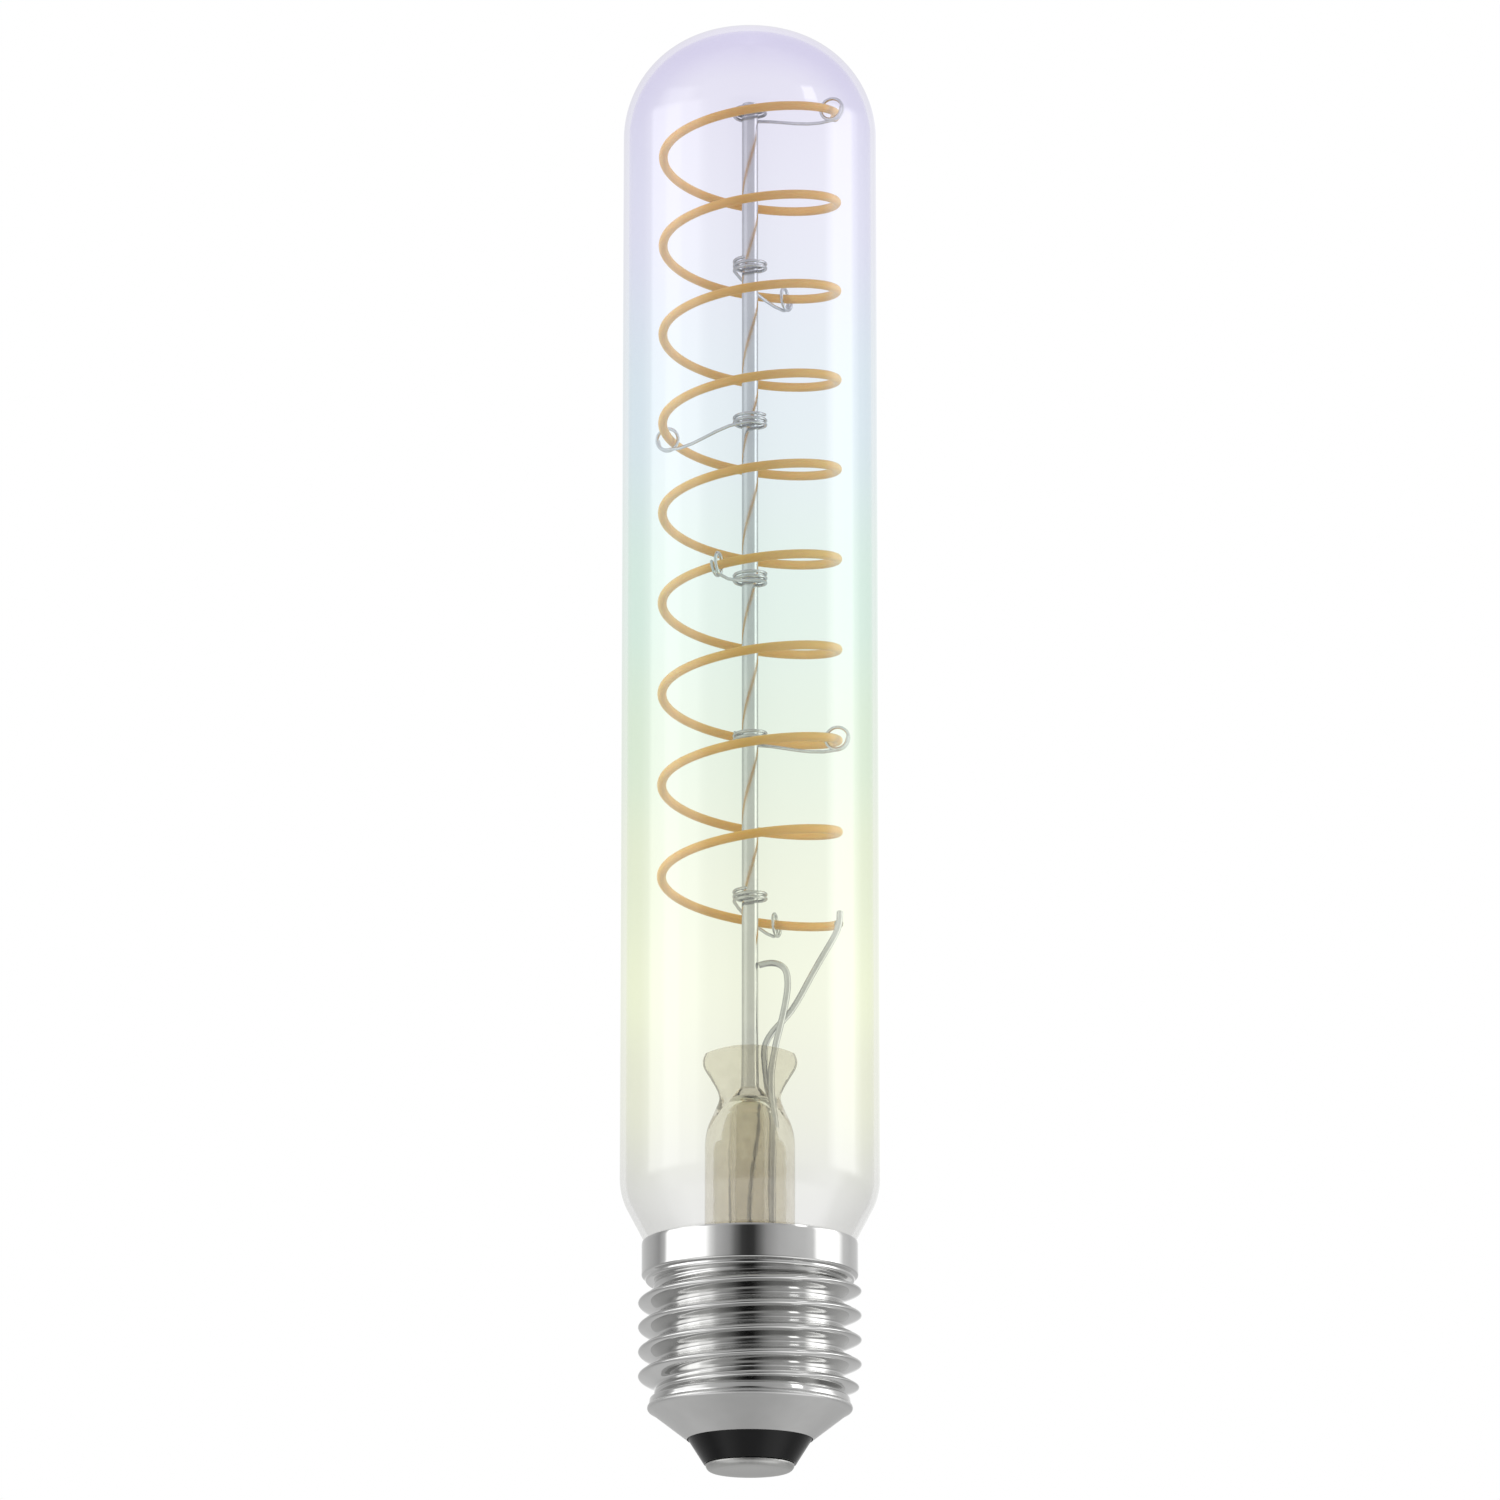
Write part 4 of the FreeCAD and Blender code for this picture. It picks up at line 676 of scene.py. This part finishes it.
def nickel_plated_sheet():
    """Bright nickel plating on rolled sheet. The thread and collar are polished, and the cone under
    them is left satin, so that the eye sees sharp bands above and a soft grey below. Patches of 3 mm
    vary its tone and its relief a little."""
    material, place = new_material("nickel_plated_sheet")
    split = add_node(material, "ShaderNodeSeparateXYZ", inputs={"Vector": place})
    satin = add_node(material, "ShaderNodeMapRange", {"interpolation_type": "SMOOTHSTEP"}, {
        "Value": split.outputs["Z"], "From Min": (Z_RIM + 0.1) * MM, "From Max": (Z_RIM + 0.45) * MM,
        "To Min": 0.36, "To Max": 0.08})
    patches = add_node(material, "ShaderNodeTexNoise", inputs={
        "Vector": place, "Scale": 1 / (3 * MM), "Detail": 2.0, "Roughness": PATCH_ROUGHNESS}).outputs["Fac"]
    tone = add_node(material, "ShaderNodeValToRGB", inputs={"Fac": patches},
                    stops=two_tones("CECECD", "D3D3D2"))
    relief = add_node(material, "ShaderNodeBump", inputs={
        "Height": patches, "Distance": 0.001 * MM, "Strength": 1.0})
    shader = add_node(material, "ShaderNodeBsdfPrincipled", inputs={
        "Base Color": tone.outputs["Color"], "Roughness": satin.outputs["Result"],
        "Normal": relief.outputs["Normal"], "Metallic": 1.0})
    add_node(material, "ShaderNodeOutputMaterial", inputs={"Surface": shader.outputs["BSDF"]})
    return material


def phosphor_silicone():
    """Ochre phosphor in silicone, cast over the strip of chips: the eye sees a satin skin that is a
    little lighter in patches of 2.5 mm, has a grain of 0.5 mm and lets light some way in."""
    material, place = new_material("phosphor_silicone")
    patches, grain = (add_node(material, "ShaderNodeTexNoise", inputs={
        "Vector": place, "Scale": 1 / (size * MM), "Detail": 2.0,
        "Roughness": PATCH_ROUGHNESS}).outputs["Fac"] for size in (2.5, 0.5))
    tone = add_node(material, "ShaderNodeValToRGB", inputs={"Fac": patches},
                    stops=two_tones("E4B159", "E8B660"))
    relief = add_node(material, "ShaderNodeBump", inputs={
        "Height": grain, "Distance": 0.004 * MM, "Strength": 1.0})
    shader = add_node(material, "ShaderNodeBsdfPrincipled", inputs={
        "Base Color": tone.outputs["Color"], "Normal": relief.outputs["Normal"], "Roughness": 0.5,
        "IOR": 1.35, "Subsurface Weight": 0.6, "Subsurface Scale": 0.0005,
        "Subsurface Radius": (1, 0.8, 0.6)})
    add_node(material, "ShaderNodeOutputMaterial", inputs={"Surface": shader.outputs["BSDF"]})
    return material


def uneven_finish(name, tones, polish, patch_mm, relief_mm, **kind):
    """A surface that is a little uneven, as all made ones are: soft patches that drift between two
    tones and two roughnesses, with a slight relief. What it is made of, a metal or the IOR of a
    moulding, comes as shader inputs."""
    material, place = new_material(name)
    patches = add_node(material, "ShaderNodeTexNoise", inputs={
        "Vector": place, "Scale": 1 / (patch_mm * MM), "Detail": 2.0,
        "Roughness": PATCH_ROUGHNESS}).outputs["Fac"]
    tone = add_node(material, "ShaderNodeValToRGB", inputs={"Fac": patches}, stops=two_tones(*tones))
    rough = add_node(material, "ShaderNodeMapRange", inputs={
        "Value": patches, "From Min": PATCH_LOW, "From Max": PATCH_HIGH,
        "To Min": polish[0], "To Max": polish[1]})
    relief = add_node(material, "ShaderNodeBump", inputs={
        "Height": patches, "Distance": relief_mm * MM, "Strength": 1.0})
    shader = add_node(material, "ShaderNodeBsdfPrincipled", inputs={
        "Base Color": tone.outputs["Color"], "Roughness": rough.outputs["Result"],
        "Normal": relief.outputs["Normal"], **kind})
    add_node(material, "ShaderNodeOutputMaterial", inputs={"Surface": shader.outputs["BSDF"]})
    return material


# The bulb.

def finish_piece(piece, material, node):
    """Give a piece its material and its body, and hide the CAD node that it stands for."""
    piece.data.materials.append(material)
    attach(piece, "root")
    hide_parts(node)


# Nickel wire, drawn: pale grey with a soft gloss. Its draw lines are too fine to show, so patches
# of 1.5 mm stand for them and only vary the gloss.
drawn_nickel = uneven_finish("drawn_nickel_wire", ("C6C7CA", "D2D3D5"), (0.16, 0.22), 1.5, 0.0001,
                             Metallic=1.0)
finish_piece(glass_envelope(), soda_lime_glass(), "glass_envelope")
finish_piece(stem(), lead_glass("pressed_lead_glass", "EAE6DA", "DFDACD", 1.35), "stem")
finish_piece(exhaust_tube(), lead_glass("drawn_lead_glass", "F3F1EC", "E9E6DE", 1.25),
             "exhaust_tube")
# Steel rod, drawn and polished: long clear bands of light and dark.
finish_piece(centre_rod(), uneven_finish("polished_steel_rod", ("D6D6D8", "DEDEDF"), (0.14, 0.18), 3,
                                         0.0005, Metallic=1.0), "centre_rod")
finish_piece(led_filament(), phosphor_silicone(), "led_filament")
for number in range(HOOK_COUNT):
    finish_piece(support_hook(number), drawn_nickel, f"support_hook_{number + 1}")
finish_piece(lead_wire_rod(), drawn_nickel, "lead_wire_rod")
finish_piece(lead_wire_filament(), drawn_nickel, "lead_wire_filament")
finish_piece(screw_shell(), nickel_plated_sheet(), "screw_shell")
# Vitrite, a black glass that is pressed hot into the cap: deep black with a soft gloss. Its IOR is
# below that of glass, so that the gloss is as weak as in the photograph.
finish_piece(insulator(), uneven_finish("black_vitrite", ("0A0A0B", "0E0E0F"), (0.22, 0.275), 0.8,
                                        0.004, IOR=1.3), "insulator")
# Brass, stamped and tinned: a matt silver disc with a slight orange peel.
finish_piece(centre_contact(), uneven_finish("tinned_brass", ("B6B6B4", "BEBEBC"), (0.36, 0.46), 0.7,
                                             0.004, Metallic=1.0), "centre_contact")

# The CAD pieces that stay, with a finish each.
CAD_FINISHES = (
    # Steel strip, stamped: a warm grey with a dull gloss.
    (("filament_cap_top", "filament_cap_bottom"),
     uneven_finish("filament_end_steel", ("AFA690", "BDB49E"), (0.3, 0.4), 0.4, 0.002, Metallic=1.0)),
    # Marble flour and resin, fired: pale, dry and rough like plaster.
    (("basing_cement",),
     uneven_finish("basing_cement_fired", ("C6C1B2", "D2CDBE"), (0.8, 1.0), 0.4, 0.03, IOR=1.5)),
    # Glass fibre board under printed and cured solder mask: a satin green that is slightly uneven.
    (("driver_board",),
     uneven_finish("glass_fibre_board", ("3A6642", "42704A"), (0.45, 0.5625), 0.5, 0.01, IOR=1.5)),
    # Plastic sleeve, shrunk on: slate with a soft gloss.
    (("smoothing_capacitor",),
     uneven_finish("capacitor_sleeve", ("3C4650", "454F59"), (0.35, 0.4375), 1, 0.005, IOR=1.5)),
    # Lacquer, dipped: tan and satin.
    (("fusible_resistor",),
     uneven_finish("resistor_lacquer", ("B5875A", "BE9164"), (0.5, 0.625), 0.4, 0.01, IOR=1.5)),
    # Epoxy, moulded round the chips: matt black with a fine grain.
    (("bridge_rectifier", "driver_chip"),
     uneven_finish("epoxy_moulding", ("18181A", "202022"), (0.55, 0.6875), 0.3, 0.008, IOR=1.5)),
    # Copper wire, drawn and tinned: a warm dull silver.
    (("shell_wire",),
     uneven_finish("tinned_copper", ("B6A58E", "C2B29C"), (0.3, 0.4), 0.5, 0.003, Metallic=1.0)),
)
for nodes, material in CAD_FINISHES:
    for node in nodes:
        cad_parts[node].data.materials.clear()
        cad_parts[node].data.materials.append(material)


# The studio.

# Radiance that metal and glass mirror, by azimuth in degrees from the front, right positive. This is
# the shade straight below the bulb.
RING_UNDER = ((-90, 0.513), (0, 0.23), (90, 0.513))
# The rings above it, each after the sines of the elevations where it begins and has taken over.
STUDIO_RINGS = (
    # The lit floor.
    (-0.97, -0.8, (
        (-180, 0.675), (-127, 0.675), (-100, 0.405), (-85, 0.675), (-68, 1.35), (-45, 1.08),
        (-22, 0.783), (0, 0.81), (30, 0.878), (50, 1.35), (79, 1.485), (108, 0.54), (127, 0.675),
        (180, 0.675))),
    # The studio below the lamps.
    (-0.6, -0.4, (
        (-180, 0.675), (-127, 0.54), (-98, 0.338), (-86, 0.675), (-77, 1.013), (-50, 0.945),
        (-35, 0.472), (-22, 0.243), (-13, 0.081), (-6, 0.016), (4, 0.016), (12, 0.121), (31, 0.405),
        (51, 0.472), (65, 0.81), (85, 1.08), (98, 0.405), (127, 0.472), (180, 0.675))),
    # The lamps, with the dark behind the camera between them.
    (-0.1, 0.1, (
        (-180, 1.215), (-165, 0.743), (-127, 0.54), (-113, 0.392), (-103, 0.675), (-98, 1.89),
        (-84, 1.958), (-81, 2.43), (-67, 2.43), (-64, 1.89), (-49, 1.755), (-43, 1.026),
        (-36, 0.621), (-22, 0.419), (-15.6, 0.189), (-8.5, 0.061), (-2, 0.041), (4, 0.047),
        (11, 0.189), (18, 0.392), (31, 0.581), (45, 0.675), (61, 0.743), (71, 0.837), (79, 2.16),
        (83, 2.7), (104, 2.7), (109, 1.62), (118, 0.81), (132, 0.675), (155, 0.743),
        (180, 1.215))),
    # The tops of the lamps.
    (0.33, 0.42, (
        (-180, 0.81), (-98, 0.405), (-81, 1.35), (-62, 1.35), (-50, 0.675), (0, 0.405), (40, 0.54),
        (51, 0.81), (53, 3), (64, 3), (66, 0.81), (106, 0.54), (180, 0.81))),
    # The ceiling.
    (0.55, 0.62, (
        (-180, 0.81), (-98, 0.472), (-60, 0.608), (0, 0.405), (60, 0.608), (106, 0.472),
        (180, 0.81))),
)
# What the metal inside the glass mirrors: the same studio, evened out by the walls of the tube.
RING_INSIDE = (
    (-180, 0.72), (-104, 0.72), (-84, 1.0), (-52, 1.0), (-36, 0.8), (10, 0.75), (62, 0.78),
    (78, 1.75), (100, 1.75), (114, 0.8), (180, 0.72))
STUDIO_GREY = "CFCFCF"
WHITE = (1, 1, 1, 1)

# Lamps and camera: places and sizes in metres, the lens in millimetres.
LAMP_FOOT = -0.25
LAMP_TOP = 0.85
LAMP_DISTANCE = 0.6
CAMERA_PLACE = (0, -0.9681, -0.1621)
CAMERA_TILT = math.radians(14.415)
CAMERA_LENS = 201.6

# Floor, in millimetres.
FLOOR_HEIGHT = -1200
FLOOR_REACH = 2500
FLOOR_RISE = 40
FLOOR_POINTS = 41
FLOOR_WHITENESS = 0.8


def ring_stops(ring):
    """A ring's azimuths and radiances as a ramp's stops, from straight behind round by the left."""
    return [((degrees + 180) / 360, (level, level, level, 1)) for degrees, level in ring]


def studio_world():
    """What surrounds the bulb: white to the eye, through glass, and to what is mirrored within a wall
    of glass. Metal and glass mirror a studio of tall soft lamps, dark behind the camera, and an
    evened one inside the glass. Other rays get grey."""
    world = bpy.data.worlds.new("studio")
    bpy.context.scene.world = world
    world.use_nodes = True
    world.node_tree.nodes.clear()
    place = add_node(world, "ShaderNodeTexCoord").outputs["Generated"]
    split = add_node(world, "ShaderNodeSeparateXYZ", inputs={"Vector": place}).outputs
    front = add_node(world, "ShaderNodeMath", {"operation": "MULTIPLY"}, {0: split["Y"], 1: -1})
    turn = add_node(world, "ShaderNodeMath", {"operation": "ARCTAN2"},
                    {0: split["X"], 1: front.outputs["Value"]})
    azimuth = add_node(world, "ShaderNodeMapRange", inputs={
        "Value": turn.outputs["Value"], "From Min": -math.pi, "From Max": math.pi}).outputs["Result"]
    studio = add_node(world, "ShaderNodeValToRGB", inputs={"Fac": azimuth},
                      stops=ring_stops(RING_UNDER)).outputs["Color"]
    for low, high, ring in STUDIO_RINGS:
        rise = add_node(world, "ShaderNodeMapRange", {"interpolation_type": "SMOOTHSTEP"},
                        {"Value": split["Z"], "From Min": low, "From Max": high})
        above = add_node(world, "ShaderNodeValToRGB", inputs={"Fac": azimuth}, stops=ring_stops(ring))
        studio = add_node(world, "ShaderNodeMix", {"data_type": "RGBA"}, {
            "Factor": rise.outputs["Result"], FIRST_COLOUR: studio,
            SECOND_COLOUR: above.outputs["Color"]}).outputs[MIXED_COLOUR]
    path = add_node(world, "ShaderNodeLightPath").outputs
    direct = add_node(world, "ShaderNodeMath", {"operation": "MAXIMUM"},
                      {0: path["Is Camera Ray"], 1: path["Is Transmission Ray"]})
    odd = add_node(world, "ShaderNodeMath", {"operation": "MODULO"},
                   {0: path["Transmission Depth"], 1: 2})
    in_wall = add_node(world, "ShaderNodeMath", {"operation": "MULTIPLY"},
                       {0: odd.outputs["Value"], 1: path["Is Singular Ray"]})
    seen = add_node(world, "ShaderNodeMath", {"operation": "MAXIMUM"},
                    {0: direct.outputs["Value"], 1: in_wall.outputs["Value"]})
    inside = add_node(world, "ShaderNodeMath", {"operation": "GREATER_THAN"},
                      {0: path["Transmission Depth"], 1: TUBE_SURFACES - 0.5})
    evened = add_node(world, "ShaderNodeValToRGB", inputs={"Fac": azimuth}, stops=ring_stops(RING_INSIDE))
    mirrored = add_node(world, "ShaderNodeMix", {"data_type": "RGBA"}, {
        "Factor": inside.outputs["Value"], FIRST_COLOUR: studio,
        SECOND_COLOUR: evened.outputs["Color"]}).outputs[MIXED_COLOUR]
    lighting = add_node(world, "ShaderNodeMix", {"data_type": "RGBA"}, {
        "Factor": path["Is Glossy Ray"], FIRST_COLOUR: linear(STUDIO_GREY),
        SECOND_COLOUR: mirrored}).outputs[MIXED_COLOUR]
    shown = add_node(world, "ShaderNodeMix", {"data_type": "RGBA"}, {
        "Factor": seen.outputs["Value"], FIRST_COLOUR: lighting,
        SECOND_COLOUR: WHITE}).outputs[MIXED_COLOUR]
    background = add_node(world, "ShaderNodeBackground", inputs={"Color": shown, "Strength": 1.0})
    add_node(world, "ShaderNodeOutputWorld", inputs={"Surface": background.outputs["Background"]})


def softbox(name, azimuth, width, radiance):
    """A tall soft lamp that faces the bulb's axis and lights only what scatters light. Azimuth is in
    degrees from the front, right positive, and its power is pi times its area times its radiance."""
    angle = math.radians(azimuth)
    data = bpy.data.lights.new(name, "AREA")
    data.shape = "RECTANGLE"
    data.size = width
    data.size_y = LAMP_TOP - LAMP_FOOT
    data.energy = math.pi * data.size * data.size_y * radiance
    lamp = bpy.data.objects.new(name, data)
    lamp.location = (LAMP_DISTANCE * math.sin(angle), -LAMP_DISTANCE * math.cos(angle),
                     (LAMP_FOOT + LAMP_TOP) / 2)
    lamp.rotation_euler = (math.pi / 2, 0, angle)
    lamp.visible_camera = False
    lamp.visible_glossy = False
    lamp.visible_transmission = False
    bpy.context.scene.collection.objects.link(lamp)


def pale_floor():
    """A wide floor far under the bulb, a sheet that rises with the fourth power of the distance from
    its middle. Its matt pale paint, rolled on, has faint patches of 40 mm: nearly white to the eye,
    with what shadow the bulb throws on it."""
    steps = np.linspace(-1, 1, FLOOR_POINTS)
    x, y = np.meshgrid(steps * FLOOR_REACH, steps * FLOOR_REACH)
    z = FLOOR_HEIGHT + FLOOR_RISE * (np.hypot(x, y) / FLOOR_REACH) ** 4
    points = np.stack([x, y, z], axis=-1).reshape(-1, 3)
    rows, columns = np.meshgrid(np.arange(FLOOR_POINTS - 1), np.arange(FLOOR_POINTS - 1), indexing="ij")
    first = rows * FLOOR_POINTS + columns
    corners = [first, first + 1, first + FLOOR_POINTS + 1, first + FLOOR_POINTS]
    floor = put_in_mesh("pale_floor", points, np.stack(corners, axis=-1).reshape(-1, 4))
    material, place = new_material("matte_painted_floor")
    path = add_node(material, "ShaderNodeLightPath").outputs
    seen = add_node(material, "ShaderNodeMath", {"operation": "MAXIMUM"},
                    {0: path["Is Camera Ray"], 1: path["Is Transmission Ray"]})
    share = add_node(material, "ShaderNodeMath", {"operation": "MULTIPLY"},
                     {0: seen.outputs["Value"], 1: FLOOR_WHITENESS})
    patches = add_node(material, "ShaderNodeTexNoise", inputs={
        "Vector": place, "Scale": 1 / (40 * MM), "Detail": 2.0, "Roughness": PATCH_ROUGHNESS})
    tone = add_node(material, "ShaderNodeValToRGB", inputs={"Fac": patches.outputs["Fac"]},
                    stops=two_tones("F0F0F0", "F4F4F4"))
    paint = add_node(material, "ShaderNodeBsdfPrincipled", inputs={
        "Base Color": tone.outputs["Color"], "Roughness": 0.9})
    white = add_node(material, "ShaderNodeEmission", inputs={"Color": WHITE, "Strength": 1.0})
    mix = add_node(material, "ShaderNodeMixShader", inputs={
        0: share.outputs["Value"], 1: paint.outputs["BSDF"], 2: white.outputs["Emission"]})
    add_node(material, "ShaderNodeOutputMaterial", inputs={"Surface": mix.outputs["Shader"]})
    floor.data.materials.append(material)
    floor.visible_glossy = False


def camera():
    """The photograph's viewpoint: below the bulb and in front of it, looking up at its middle."""
    data = bpy.data.cameras.new("camera")
    data.lens = CAMERA_LENS
    data.sensor_width = 36
    data.clip_start = 0.01
    viewer = bpy.data.objects.new("camera", data)
    viewer.location = CAMERA_PLACE
    viewer.rotation_euler = (math.pi / 2 + CAMERA_TILT, 0, 0)
    bpy.context.scene.collection.objects.link(viewer)
    bpy.context.scene.camera = viewer


studio_world()
softbox("right_softbox", 93, 0.37, 2.0)
softbox("left_softbox", -83, 0.30, 1.7)
softbox("left_fill", -56, 0.27, 0.9)
pale_floor()
camera()
bpy.context.scene.view_settings.view_transform = "Standard"
